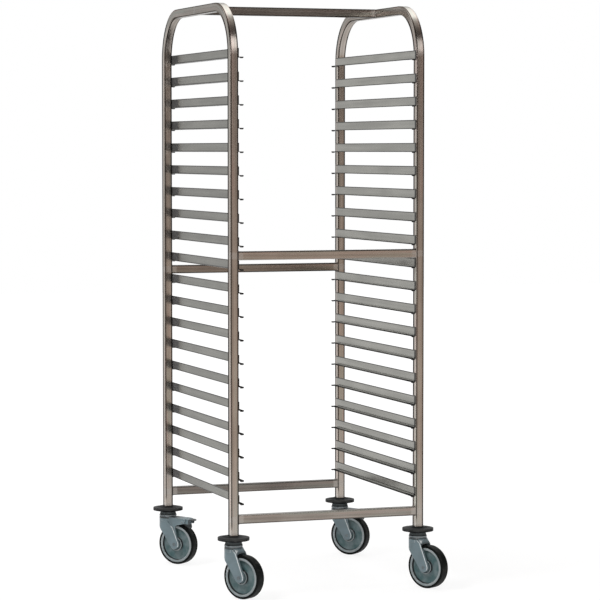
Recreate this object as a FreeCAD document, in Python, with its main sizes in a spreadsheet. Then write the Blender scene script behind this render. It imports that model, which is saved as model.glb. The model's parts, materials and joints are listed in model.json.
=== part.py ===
import FreeCAD, Part
import math
import os
import re

import Sketcher
from FreeCAD import Placement, Rotation, Vector

# Tray trolley for gastronorm trays: two bent-tube side frames, five crossbars, twenty pairs of
# folded runners, and four swivel casters with bumper discs, the rear two with pedal brakes.
# +X is to the right, +Y to the rear, +Z up. The origin is on the floor, midway between the posts.

SIZES = {
    # welded frame of square tube
    "frame_width": 590,
    "frame_depth": 686,
    "frame_height": 1695,
    "tube_size": 25,
    "tube_wall": 1.5,
    "tube_corner": 2.5,
    "tube_inner_corner": 1,
    "bend_radius": 137.5,
    "low_bar_height": 211,
    "mid_bar_gap": 1.5,
    # folded angle runners, spread evenly from the top one to the lowest
    "top_runner_drop": 134,
    "lowest_runner_top": 293.7,
    "runner_height": 26,
    "runner_flange": 15,
    "runner_thickness": 1.5,
    "runner_bend": 1.5,
    "runner_rear_gap": 9,
    # wheel
    "wheel_diameter": 125,
    "tyre_width": 30,
    "tyre_depth": 6.5,
    "tyre_shoulder": 4,
    "tyre_fit": 0.05,
    "rim_width": 28,
    "rim_depth": 7.5,
    "rim_edge": 1,
    "web_thickness": 11,
    "web_rounding": 5,
    "hub_length": 32,
    "hub_diameter": 19,
    "collar_inner": 36,
    "collar_outer": 41.5,
    "collar_setback": 1.5,
    "hub_groove_depth": 7,
    "sleeve_diameter": 12,
    "axle_diameter": 8,
    "axle_head_diameter": 11,
    "axle_head_height": 0.8,
    "running_gap": 0.05,
    # fork
    "trail": 38,
    "crown_height": 19.5,
    "crown_diameter": 53,
    "crown_depth": 12,
    "shoulder_drop": 19.5,
    "leg_thickness": 8.5,
    "leg_end_radius": 15,
    "leg_side_gap": 0.5,
    "leg_front_x": 29,
    "leg_front_drop": 23.5,
    "leg_front_rounding": 8,
    "leg_edge_rounding": 3,
    "leg_relief": 4,
    "leg_top_x": 10,
    "leg_knee_x": 26,
    "leg_knee_drop": 13.5,
    "leg_knee_rounding": 8,
    "nose_flare": 11,
    "nose_height": 19,
    "wheel_clearance": 4,
    # swivel stack above the fork
    "bearing_height": 10,
    "bearing_diameter": 38,
    "bearing_shield_depth": 1,
    "bearing_clearance": 0.3,
    "swivel_gap": 2.2,
    "head_thickness": 4.5,
    "head_edge": 0.8,
    "stem_diameter": 12,
    "stem_head_diameter": 17,
    "stem_head_height": 6,
    "stem_head_room": 1.5,
    "stem_nut_diameter": 18,
    "stem_nut_height": 8,
    "bumper_height": 26.8,
    "bumper_neck_height": 8.8,
    "bumper_neck_diameter": 46,
    "bumper_foot_diameter": 51.5,
    "bumper_diameter": 91,
    "bumper_rim": 8.5,
    "bumper_top_diameter": 41,
    "bumper_rounding": 0.7,
    "plug_height": 60,
    "plug_fit": 0.3,
    "plug_chamfer": 3,
    "plug_slit": 2,
    "plug_base": 14,
    # pedal brake of the rear casters
    "arm_reach": 76.5,
    "arm_drop": 2,
    "arm_end_depth": 17,
    "arm_end_slope": 6,
    "arm_root_x": 36,
    "arm_root_drop": 24.5,
    "arm_rounding": 10,
    "arm_leg_top_x": 5,
    "arm_leg_knee_x": 32.5,
    "arm_leg_knee_drop": 32,
    "bay_start": 29.5,
    "bay_gap": 2,
    "pin_setback": 13.5,
    "pin_drop": 12.5,
    "pin_diameter": 6,
    "pedal_reach": 99,
    "pedal_rise": 0.8,
    "pedal_slope_angle": 4.6,
    "pedal_thickness": 2.8,
    "pedal_tip_rounding": 11,
    "pedal_side_gap": 0.5,
    "skirt_start": 56,
    "skirt_end": 88,
    "skirt_slope": 2.5,
    "skirt_drop": 17.5,
    "skirt_thickness": 3,
    "ridge_start": 73,
    "ridge_pitch": 6,
    "ridge_width": 3,
    "ridge_height": 0.7,
    "pin_boss_diameter": 13,
    "shoe_width": 16,
    "shoe_front_x": 79,
    "shoe_heel": 5,
    "shoe_near_angle": 60,
    "shoe_far_angle": 49,
    "brake_angle": 10,
    "brake_gap": 0.4,
    # resting directions of the trailing wheels, in degrees from +X
    "front_left_swivel_angle": -56.5,
    "front_right_swivel_angle": -58.9,
    "rear_left_swivel_angle": -49.8,
    "rear_right_swivel_angle": -47.7,
}

RUNNER_COUNT = 20
RUNNER_COUNT_ABOVE_FRONT_BAR = 9
RUNNER_COUNT_ABOVE_REAR_BAR = 10
RIDGE_COUNT = 4

# Places that several pieces share, as formulas of the sizes above.
POST_X = "((frame_width - tube_size) / 2)"
POST_Y = "((frame_depth - tube_size) / 2)"
INNER_WIDTH = "(frame_width - 2 * tube_size)"
RAIL_HEIGHT = "(frame_height - tube_size / 2)"
RUNNER_TOP = "(frame_height - top_runner_drop)"
RUNNER_PITCH = f"(({RUNNER_TOP} - lowest_runner_top) / {RUNNER_COUNT - 1})"
WHEEL_RADIUS = "(wheel_diameter / 2)"
CORE_RADIUS = f"({WHEEL_RADIUS} - tyre_depth)"
AXLE_HEIGHT = WHEEL_RADIUS
LEG_GAP = "(hub_length + 2 * leg_side_gap)"
FORK_WIDTH = f"({LEG_GAP} + 2 * leg_thickness)"
NOSE_WIDTH = f"({FORK_WIDTH} - 2 * leg_relief)"
FORK_TOP = "(wheel_diameter + crown_height)"
HEAD_BASE = f"({FORK_TOP} + swivel_gap)"
BEARING_BASE = f"({HEAD_BASE} - bearing_height)"
BUMPER_BASE = f"({HEAD_BASE} + head_thickness)"
POST_BOTTOM = f"({BUMPER_BASE} + bumper_height)"
STEM_BORE = "(stem_diameter / 2 + running_gap)"
PIN_X = "(arm_reach - pin_setback)"
PIN_HEIGHT = f"({FORK_TOP} - pin_drop)"
PEDAL_BACK = "(bay_start + bay_gap)"
PEDAL_WIDTH = f"({LEG_GAP} - 2 * pedal_side_gap)"

doc = FreeCAD.newDocument("tray_trolley")
sheet = doc.addObject("Spreadsheet::Sheet", "Sizes")
for row, (alias, number) in enumerate(SIZES.items(), start=1):
    sheet.set(f"A{row}", alias)
    sheet.set(f"B{row}", str(number))
    sheet.setAlias(f"B{row}", alias)
doc.recompute()

SIZE_NAME = re.compile(r"\b(" + "|".join(SIZES) + r")\b")
nodes = []


def formula(text):
    """A formula in plain size names, made to read those sizes from the sheet."""
    return SIZE_NAME.sub(r"Sizes.\1", text)


def value(text):
    """The number that a formula gives now."""
    return float(sheet.evalExpression(formula(text)))


def bind(target, prop, text):
    target.setExpression(prop, formula(text))


def place(target, x, y, z, angle="0"):
    """Put a piece at a place, turned about the vertical."""
    target.Placement = Placement(Vector(), Rotation(Vector(0, 0, 1), value(angle) or 360))
    bind(target, "Placement.Base.x", x)
    bind(target, "Placement.Base.y", y)
    bind(target, "Placement.Base.z", z)
    bind(target, "Placement.Rotation.Angle", angle)


def new_body(name):
    body = doc.addObject("PartDesign::Body", name)
    body.Label = name
    return body


def new_sketch(body, name, plane, height=None):
    """A sketch on one of the body's own origin planes, lifted along its normal if a height is given."""
    sketch = body.newObject("Sketcher::SketchObject", name)
    support = [f for f in body.Origin.OriginFeatures if f.Role == plane][0]
    sketch.AttachmentSupport = (support, [""])
    sketch.MapMode = "FlatFace"
    if height:
        bind(sketch, "AttachmentOffset.Base.z", height)
    return sketch


def corner(x, y, bow=None):
    """A sharp corner. With a bow, the edge that leaves it is a right-hand arc of that radius."""
    return {"x": x, "y": y, "kind": "corner", "bow": bow}


def fillet(x, y, radius):
    """A corner rounded by an arc that touches both of its edges."""
    return {"x": x, "y": y, "kind": "fillet", "radius": radius, "bow": None}


def around(x, y, radius):
    """A left-hand arc about a centre, which the edges on both sides touch."""
    return {"x": x, "y": y, "kind": "around", "radius": radius, "bow": None}


def tangent(first, second):
    """The straight line that leaves one vertex and reaches the next."""
    reach = second["at"] - first["at"]
    lean = (second["turn"] - first["turn"]) / reach.Length
    angle = math.atan2(reach.y, reach.x) + math.acos(lean)
    normal = Vector(math.cos(angle), math.sin(angle), 0)
    return first["at"] - normal * first["turn"], second["at"] - normal * second["turn"]


def arc_between(start, end, centre, left):
    """An arc from start to end about a centre, with the numbers of its two ends in that order."""
    first, last = (start, end) if left else (end, start)
    radius = (start - centre).Length
    angles = [math.atan2(p.y - centre.y, p.x - centre.x) for p in (first, last)]
    if angles[1] < angles[0]:
        angles[1] += 2 * math.pi
    circle = Part.Circle(centre, Vector(0, 0, 1), radius)
    return Part.ArcOfCircle(circle, angles[0], angles[1]), (1, 2) if left else (2, 1)


def rounding(vertex, before, after):
    """Where a rounded corner's arc starts and ends, its centre, and whether it turns left."""
    coming = (before[1] - before[0]).normalize()
    going = (after[1] - after[0]).normalize()
    if vertex["kind"] == "around":
        return before[1], after[0], vertex["at"], True
    left = coming.cross(going).z > 0
    radius = value(vertex["radius"])
    setback = radius * math.tan(coming.getAngle(going) / 2)
    start = vertex["at"] - coming * setback
    side = Vector(-coming.y, coming.x, 0) * (radius if left else -radius)
    return start, vertex["at"] + going * setback, start + side, left


def fix_point(sketch, geometry, end, vertex):
    """Tie one point of a sketch to the formulas of a vertex."""
    for kind, text in (("DistanceX", vertex["x"]), ("DistanceY", vertex["y"])):
        index = sketch.addConstraint(Sketcher.Constraint(kind, -1, 1, geometry, end, value(text)))
        bind(sketch, f"Constraints[{index}]", text)


def fix_radius(sketch, geometry, text):
    index = sketch.addConstraint(Sketcher.Constraint("Radius", geometry, value(text)))
    bind(sketch, f"Constraints[{index}]", text)


def join(sketch, kind, first, second):
    sketch.addConstraint(Sketcher.Constraint(kind, *first, *second))


def draw(sketch, vertices, closed=True):
    """Draw an outline through vertices, left-hand round, with every vertex tied to its formulas."""
    count = len(vertices)
    for vertex in vertices:
        vertex["at"] = Vector(value(vertex["x"]), value(vertex["y"]), 0)
        vertex["turn"] = value(vertex["radius"]) if vertex["kind"] == "around" else 0.0
    spans = count if closed else count - 1
    lines = [tangent(vertices[i], vertices[(i + 1) % count]) for i in range(spans)]
    arcs = {}
    for i, vertex in enumerate(vertices):
        if vertex["kind"] == "corner":
            continue
        start, end, centre, left = rounding(vertex, lines[i - 1], lines[i])
        curve, ends = arc_between(start, end, centre, left)
        arcs[i] = (sketch.addGeometry(curve, False), ends)
        lines[i - 1] = (lines[i - 1][0], start)
        lines[i] = (end, lines[i][1])
    edges = []
    for i, (start, end) in enumerate(lines):
        bow = vertices[i]["bow"]
        if bow:
            half = (end - start) / 2
            rise = math.sqrt(value(bow) ** 2 - half.Length ** 2)
            centre = start + half + Vector(half.y, -half.x, 0).normalize() * rise
            curve, ends = arc_between(start, end, centre, False)
            edges.append((sketch.addGeometry(curve, False), ends))
            fix_radius(sketch, edges[-1][0], bow)
        else:
            edges.append((sketch.addGeometry(Part.LineSegment(start, end), False), (1, 2)))
    for i, vertex in enumerate(vertices):
        leaving = edges[i] if i < spans else None
        coming = edges[i - 1] if closed or i > 0 else None
        if vertex["kind"] == "corner":
            edge, end = (leaving[0], leaving[1][0]) if leaving else (coming[0], coming[1][1])
            fix_point(sketch, edge, end, vertex)
            if leaving and coming:
                join(sketch, "Coincident", (coming[0], coming[1][1]), (edge, end))
            continue
        arc, ends = arcs[i]
        join(sketch, "Tangent", (coming[0], coming[1][1]), (arc, ends[0]))
        join(sketch, "Tangent", (arc, ends[1]), (leaving[0], leaving[1][0]))
        fix_radius(sketch, arc, vertex["radius"])
        if vertex["kind"] == "around":
            fix_point(sketch, arc, 3, vertex)
            continue
        point = sketch.addGeometry(Part.Point(vertex["at"]), True)
        fix_point(sketch, point, 1, vertex)
        join(sketch, "PointOnObject", (point, 1), (coming[0],))
        join(sketch, "PointOnObject", (point, 1), (leaving[0],))


def draw_circle(sketch, x, y, radius):
    centre = {"x": x, "y": y}
    circle = Part.Circle(Vector(value(x), value(y), 0), Vector(0, 0, 1), value(radius))
    index = sketch.addGeometry(circle, False)
    fix_point(sketch, index, 3, centre)
    fix_radius(sketch, index, radius)


def draw_box(sketch, low, high):
    """A rectangle between two corners, each a pair of formulas."""
    draw(sketch, [corner(low[0], low[1]), corner(high[0], low[1]),
                  corner(high[0], high[1]), corner(low[0], high[1])])


def draw_rounded_square(sketch, x, y, half, radius):
    draw(sketch, [fillet(f"{x} {i} {half}", f"{y} {j} {half}", radius)
                  for i, j in (("-", "-"), ("+", "-"), ("+", "+"), ("-", "+"))])


def extrude(body, kind, sketch, length, symmetric=True):
    """Pad or pocket a sketch, both ways from its plane unless told otherwise."""
    feature = body.newObject(f"PartDesign::{kind}", f"{sketch.Name}_{kind.lower()}")
    feature.Profile = sketch
    feature.SideType = "Symmetric" if symmetric else "One side"
    bind(feature, "Length", length)
    return feature


def revolve(body, kind, sketch, axis):
    """Turn a sketch a full circle about its own horizontal or vertical axis."""
    feature = body.newObject(f"PartDesign::{kind}", f"{sketch.Name}_{kind.lower()}")
    feature.Profile = sketch
    feature.ReferenceAxis = (sketch, [axis])
    feature.Angle = 360
    return feature


def cut(body, kind, *details):
    """Pocket or groove the body, and stop if it takes nothing away."""
    doc.recompute()
    before = body.Shape.Volume
    feature = extrude(body, kind, *details) if kind == "Pocket" else revolve(body, kind, *details)
    doc.recompute()
    if body.Shape.Volume > before - 1e-3:
        raise RuntimeError(f"{feature.Name} takes nothing away from {body.Name}")


def round_edges(body, radius, chosen):
    """Round the edges of the body that a test picks."""
    doc.recompute()
    names = [f"Edge{i}" for i, edge in enumerate(body.Shape.Edges, start=1) if chosen(edge)]
    base = body.Tip
    feature = body.newObject("PartDesign::Fillet", f"{body.Name}_rounding")
    feature.Base = (base, names)
    bind(feature, "Radius", radius)


def keep(name, *pieces):
    """Make a node of one piece, or of several that stay separate solids."""
    node = pieces[0]
    if len(pieces) > 1:
        node = doc.addObject("Part::Compound", name)
        node.Links = list(pieces)
    node.Label = name
    nodes.append(node)


# Frame

def side_frame(name, side):
    """One tube bent into an upside-down U: two posts and the rail that joins them."""
    body = new_body(name)
    section = new_sketch(body, f"{name}_section", "XY_Plane", POST_BOTTOM)
    draw_rounded_square(section, "0", f"-{POST_Y}", "tube_size / 2", "tube_corner")
    draw_rounded_square(section, "0", f"-{POST_Y}", "(tube_size / 2 - tube_wall)", "tube_inner_corner")
    path = new_sketch(body, f"{name}_path", "YZ_Plane")
    draw(path, [corner(f"-{POST_Y}", POST_BOTTOM), fillet(f"-{POST_Y}", RAIL_HEIGHT, "bend_radius"),
                fillet(POST_Y, RAIL_HEIGHT, "bend_radius"), corner(POST_Y, POST_BOTTOM)], closed=False)
    tube = body.newObject("PartDesign::AdditivePipe", f"{name}_tube")
    tube.Profile = section
    tube.Spine = (path, [])
    place(body, f"{side} * {POST_X}", "0", "0")
    keep(name, body)


def crossbar(name, y, bottom):
    """A straight tube between the inner faces of the two side frames."""
    body = new_body(name)
    section = new_sketch(body, f"{name}_section", "YZ_Plane")
    draw_rounded_square(section, "0", "0", "tube_size / 2", "tube_corner")
    draw_rounded_square(section, "0", "0", "(tube_size / 2 - tube_wall)", "tube_inner_corner")
    extrude(body, "Pad", section, INNER_WIDTH)
    place(body, "0", y, f"{bottom} + tube_size / 2")
    keep(name, body)


def runner(name, level, side):
    """A folded angle: its upright leg lies on the posts and its flange carries the tray's edge."""
    body = new_body(name)
    section = new_sketch(body, f"{name}_section", "XZ_Plane")
    draw(section, [fillet("0", "0", "runner_bend + runner_thickness"),
                   corner("runner_flange", "0"),
                   corner("runner_flange", "runner_thickness"),
                   fillet("runner_thickness", "runner_thickness", "runner_bend"),
                   corner("runner_thickness", "runner_height"),
                   corner("0", "runner_height")])
    extrude(body, "Pad", section, "frame_depth - runner_rear_gap")
    place(body, f"{side} * {INNER_WIDTH} / 2", "-runner_rear_gap / 2",
          f"{RUNNER_TOP} - runner_height - {level} * {RUNNER_PITCH}", "0" if side < 0 else "180")
    return body


def runner_pair(level):
    name = f"runner_pair_{level + 1:02d}"
    keep(name, runner(f"{name}_left", level, -1), runner(f"{name}_right", level, 1))


# Fixed pieces of the swivel stack, stacked on the vertical axis of a post

def bumper(name):
    """Soft disc with a rim that fends off walls, on a short neck."""
    middle = f"({BUMPER_BASE} + (bumper_height + bumper_neck_height) / 2)"
    body = new_body(name)
    half = new_sketch(body, f"{name}_half", "XZ_Plane")
    draw(half, [corner(STEM_BORE, BUMPER_BASE),
                corner("bumper_foot_diameter / 2", BUMPER_BASE),
                fillet("bumper_neck_diameter / 2", f"{BUMPER_BASE} + bumper_neck_height", "bumper_rounding"),
                fillet("bumper_diameter / 2", f"{middle} - bumper_rim / 2", "bumper_rounding"),
                fillet("bumper_diameter / 2", f"{middle} + bumper_rim / 2", "bumper_rounding"),
                fillet("bumper_top_diameter / 2", POST_BOTTOM, "bumper_rounding"),
                corner(STEM_BORE, POST_BOTTOM)])
    revolve(body, "Revolution", half, "V_Axis")
    return body


def expander_plug(name):
    """Plug split into four fingers, which the stem spreads against the inside of the post."""
    half = "(tube_size / 2 - tube_wall - plug_fit)"
    flat = f"({half} - plug_chamfer)"
    top = f"({POST_BOTTOM} + plug_height)"
    body = new_body(name)
    section = new_sketch(body, f"{name}_section", "XY_Plane", POST_BOTTOM)
    draw(section, [corner(x, y) for x, y in (
        (flat, f"-{half}"), (half, f"-{flat}"), (half, flat), (flat, half),
        (f"-{flat}", half), (f"-{half}", flat), (f"-{half}", f"-{flat}"), (f"-{flat}", f"-{half}"))])
    draw_circle(section, "0", "0", STEM_BORE)
    extrude(body, "Pad", section, "plug_height", False)
    for plane in ("XZ_Plane", "YZ_Plane"):
        slit = new_sketch(body, f"{name}_slit_{plane[:2].lower()}", plane)
        draw_box(slit, ("-plug_slit / 2", f"{POST_BOTTOM} + plug_base"),
                 ("plug_slit / 2", f"{top} + plug_slit"))
        cut(body, "Pocket", slit, "2 * tube_size")
    return body


def stem_bolt(name):
    """Bolt that hangs the swivel from the post, with its head under the bearing and a nut on the plug."""
    top = f"({POST_BOTTOM} + plug_height)"
    body = new_body(name)
    half = new_sketch(body, f"{name}_half", "XZ_Plane")
    draw(half, [corner("0", f"{BEARING_BASE} - stem_head_height"),
                corner("stem_head_diameter / 2", f"{BEARING_BASE} - stem_head_height"),
                corner("stem_head_diameter / 2", BEARING_BASE),
                corner("stem_diameter / 2", BEARING_BASE),
                corner("stem_diameter / 2", top),
                corner("stem_nut_diameter / 2", top),
                corner("stem_nut_diameter / 2", f"{top} + stem_nut_height"),
                corner("0", f"{top} + stem_nut_height")])
    revolve(body, "Revolution", half, "V_Axis")
    return body


def swivel_head(name):
    """Pressed cap over the bearing, under the bumper's neck."""
    body = new_body(name)
    half = new_sketch(body, f"{name}_half", "XZ_Plane")
    draw(half, [corner(STEM_BORE, HEAD_BASE),
                fillet("crown_diameter / 2", HEAD_BASE, "head_edge"),
                fillet("crown_diameter / 2", BUMPER_BASE, "head_edge"),
                corner(STEM_BORE, BUMPER_BASE)])
    revolve(body, "Revolution", half, "V_Axis")
    return body


def swivel_bearing(name):
    """Sealed ball bearing: outer and inner ring with the shields set back between them."""
    outer = "bearing_diameter / 2"
    ring = "((bearing_diameter - stem_diameter) / 8)"
    inner_edge = f"{STEM_BORE} + {ring}"
    outer_edge = f"{outer} - {ring}"
    body = new_body(name)
    half = new_sketch(body, f"{name}_half", "XZ_Plane")
    draw(half, [corner(STEM_BORE, BEARING_BASE),
                corner(inner_edge, BEARING_BASE),
                corner(inner_edge, f"{BEARING_BASE} + bearing_shield_depth"),
                corner(outer_edge, f"{BEARING_BASE} + bearing_shield_depth"),
                corner(outer_edge, BEARING_BASE),
                corner(outer, BEARING_BASE),
                corner(outer, HEAD_BASE),
                corner(outer_edge, HEAD_BASE),
                corner(outer_edge, f"{HEAD_BASE} - bearing_shield_depth"),
                corner(inner_edge, f"{HEAD_BASE} - bearing_shield_depth"),
                corner(inner_edge, HEAD_BASE),
                corner(STEM_BORE, HEAD_BASE)])
    revolve(body, "Revolution", half, "V_Axis")
    return body


# Fork, with the swivel axis on Z and the wheel trailing towards +X

def fork(name, leg_front, nose_front, reach):
    """Moulded fork: a round crown over the bearing, and two legs that stand proud of the nose."""
    back = [corner("-crown_diameter / 2", FORK_TOP),
            corner("-crown_diameter / 2", f"{FORK_TOP} - shoulder_drop")]
    body = new_body(name)
    legs = new_sketch(body, f"{name}_legs", "XZ_Plane")
    draw(legs, leg_front + back + [around("trail", AXLE_HEIGHT, "leg_end_radius")])
    extrude(body, "Pad", legs, FORK_WIDTH)
    round_edges(body, "leg_edge_rounding", on_leg_face)
    between = new_sketch(body, f"{name}_between_legs", "XZ_Plane")
    draw(between, nose_front + back + [around("trail", AXLE_HEIGHT, "leg_end_radius - leg_edge_rounding")])
    extrude(body, "Pad", between, NOSE_WIDTH)
    plan = new_sketch(body, f"{name}_plan", "XY_Plane")
    far = f"(2 * {reach} + 2 * crown_diameter)"
    draw_box(plan, (f"-{far}", f"-{far}"), (far, far))
    draw(plan, [around("0", "0", "crown_diameter / 2"),
                corner(f"2 * {reach}", "-crown_diameter / 2"), corner(f"2 * {reach}", "crown_diameter / 2")])
    cut(body, "Pocket", plan, f"4 * {FORK_TOP}")
    crown = new_sketch(body, f"{name}_crown", "XY_Plane", f"{FORK_TOP} - crown_depth")
    draw_circle(crown, "0", "0", "crown_diameter / 2")
    extrude(body, "Pad", crown, "crown_depth", False)
    arch = new_sketch(body, f"{name}_wheel_arch", "XZ_Plane")
    draw_circle(arch, "trail", AXLE_HEIGHT, f"{WHEEL_RADIUS} + wheel_clearance")
    cut(body, "Pocket", arch, LEG_GAP)
    seat = new_sketch(body, f"{name}_bearing_seat", "XZ_Plane")
    floor = f"({BEARING_BASE} - bearing_clearance)"
    draw(seat, [corner("0", AXLE_HEIGHT),
                corner("stem_head_diameter / 2 + stem_head_room", AXLE_HEIGHT),
                corner("stem_head_diameter / 2 + stem_head_room", floor),
                corner("bearing_diameter / 2 + running_gap", floor),
                corner("bearing_diameter / 2 + running_gap", f"{FORK_TOP} + bearing_height"),
                corner("0", f"{FORK_TOP} + bearing_height")])
    cut(body, "Groove", seat, "V_Axis")
    axle_hole = new_sketch(body, f"{name}_axle_hole", "XZ_Plane")
    draw_circle(axle_hole, "trail", AXLE_HEIGHT, "axle_diameter / 2 + running_gap")
    cut(body, "Pocket", axle_hole, f"2 * {FORK_WIDTH}")
    return body


def on_leg_face(edge):
    """Is this an edge round the flat outer side of a leg, below the fork's top?"""
    side, top = value(f"{FORK_WIDTH} / 2"), value(FORK_TOP)
    flat = all(abs(abs(vertex.Y) - side) < 1e-3 for vertex in edge.Vertexes)
    return flat and any(vertex.Z < top - 1e-3 for vertex in edge.Vertexes)


def plain_fork(name):
    """Fork with no brake, whose front corners slope in to the round crown."""
    leg_front = [fillet("leg_knee_x", f"{FORK_TOP} - leg_knee_drop", "leg_knee_rounding"),
                 corner("leg_top_x", FORK_TOP)]
    nose_front = [fillet("leg_front_x", f"{FORK_TOP} - leg_front_drop", "leg_front_rounding"),
                  corner("crown_diameter / 2", FORK_TOP)]
    body = fork(name, leg_front, nose_front, "leg_front_x")
    nose = new_sketch(body, f"{name}_nose", "XZ_Plane")
    wide = "crown_diameter / 2 + nose_flare"
    draw(nose, [corner("crown_diameter / 2", FORK_TOP), corner(wide, f"{FORK_TOP} - nose_height"),
                corner(wide, FORK_TOP)])
    cut(body, "Groove", nose, "V_Axis")
    return body


def braked_fork(name):
    """Fork with two arms over the wheel, which leave a bay for the pedal and hold its pin."""
    leg_front = [fillet("arm_leg_knee_x", f"{FORK_TOP} - arm_leg_knee_drop", "leg_knee_rounding"),
                 corner("arm_leg_top_x", FORK_TOP)]
    arm_front = [fillet("arm_root_x", f"{FORK_TOP} - arm_root_drop", "arm_rounding"),
                 corner("arm_reach - arm_end_slope", f"{FORK_TOP} - arm_end_depth"),
                 corner("arm_reach", f"{FORK_TOP} - arm_drop"),
                 corner("crown_diameter / 2", FORK_TOP)]
    body = fork(name, leg_front, arm_front, "arm_reach")
    bay = new_sketch(body, f"{name}_pedal_bay", "XZ_Plane")
    draw_box(bay, ("bay_start", AXLE_HEIGHT), ("2 * arm_reach", f"{FORK_TOP} + pin_drop"))
    cut(body, "Pocket", bay, LEG_GAP)
    pin_hole = new_sketch(body, f"{name}_pin_hole", "XZ_Plane")
    draw_circle(pin_hole, PIN_X, PIN_HEIGHT, "pin_diameter / 2 + running_gap")
    cut(body, "Pocket", pin_hole, f"2 * {FORK_WIDTH}")
    return body


# Wheel, turned about its own axle along Y; radius runs up the sketch

def axle(name):
    """Riveted axle with a low head on each leg of the fork."""
    face = f"({FORK_WIDTH} / 2)"
    end = f"({face} + axle_head_height)"
    shank = "axle_diameter / 2"
    head = "axle_head_diameter / 2"
    body = new_body(name)
    half = new_sketch(body, f"{name}_half", "YZ_Plane")
    draw(half, [corner(f"-{end}", "0"), corner(end, "0"), corner(end, head), corner(face, head),
                corner(face, shank), corner(f"-{face}", shank), corner(f"-{face}", head),
                corner(f"-{end}", head)])
    revolve(body, "Revolution", half, "H_Axis")
    return body


def axle_sleeve(name):
    """Spacer tube between the legs, on which the wheel turns."""
    body = new_body(name)
    half = new_sketch(body, f"{name}_half", "YZ_Plane")
    draw_box(half, (f"-{LEG_GAP} / 2", "axle_diameter / 2 + running_gap"),
             (f"{LEG_GAP} / 2", "sleeve_diameter / 2"))
    revolve(body, "Revolution", half, "H_Axis")
    return body


def wheel_core(name):
    """Moulded core: a rim band, a recessed web, and a hub ringed by a groove and a collar."""
    bore = "(sleeve_diameter / 2 + running_gap)"
    hub = "(hub_length / 2)"
    collar = "(hub_length / 2 - collar_setback)"
    groove = f"({hub} - hub_groove_depth)"
    rim = "(rim_width / 2)"
    web = "(web_thickness / 2)"
    rim_inside = f"({CORE_RADIUS} - rim_depth)"
    right = [fillet(rim, CORE_RADIUS, "rim_edge"), fillet(rim, rim_inside, "rim_edge"),
             fillet(web, rim_inside, "web_rounding"), corner(web, "collar_outer / 2"),
             corner(collar, "collar_outer / 2"), corner(collar, "collar_inner / 2"),
             corner(groove, "collar_inner / 2"), corner(groove, "hub_diameter / 2"),
             corner(hub, "hub_diameter / 2"), corner(hub, bore)]
    left = [{**vertex, "x": f"-{vertex['x']}"} for vertex in reversed(right)]
    body = new_body(name)
    half = new_sketch(body, f"{name}_half", "YZ_Plane")
    draw(half, list(reversed(left + right)))
    revolve(body, "Revolution", half, "H_Axis")
    return body


def tyre(name):
    """Solid tread band with rounded shoulders."""
    inside = f"({CORE_RADIUS} + tyre_fit)"
    side = "(tyre_width / 2)"
    body = new_body(name)
    half = new_sketch(body, f"{name}_half", "YZ_Plane")
    draw(half, [corner(f"-{side}", inside), corner(side, inside),
                fillet(side, WHEEL_RADIUS, "tyre_shoulder"),
                fillet(f"-{side}", WHEEL_RADIUS, "tyre_shoulder")])
    revolve(body, "Revolution", half, "H_Axis")
    return body


# Pedal brake

def released(angle):
    """A point of the shoe's face, which lies on the tyre when the pedal is down, with the pedal up."""
    reach = f"({WHEEL_RADIUS} + brake_gap)"
    out = f"(trail + {reach} * cos({angle}) - {PIN_X})"
    up = f"({AXLE_HEIGHT} + {reach} * sin({angle}) - {PIN_HEIGHT})"
    return (f"({PIN_X} + {out} * cos(brake_angle) - {up} * sin(brake_angle))",
            f"({PIN_HEIGHT} + {out} * sin(brake_angle) + {up} * cos(brake_angle))")


def pedal_top(x):
    """Height of the foot plate's top, which slopes down towards its tip."""
    return f"({FORK_TOP} + pedal_rise - ({x} - {PEDAL_BACK}) * tan(pedal_slope_angle))"


def under_plate(x, depth):
    """Height of the line that runs at a depth under the foot plate's top."""
    return f"({pedal_top(x)} - {depth})"


def grip_ridges():
    """Ridges across the top of the foot plate, from the tip backwards."""
    ridges = []
    for i in reversed(range(RIDGE_COUNT)):
        start = f"(ridge_start + {i} * ridge_pitch)"
        peak = f"({start} + ridge_width / 2)"
        end = f"({start} + ridge_width)"
        ridges += [corner(end, pedal_top(end)), corner(peak, f"{pedal_top(peak)} + ridge_height"),
                   corner(start, pedal_top(start))]
    return ridges


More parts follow.
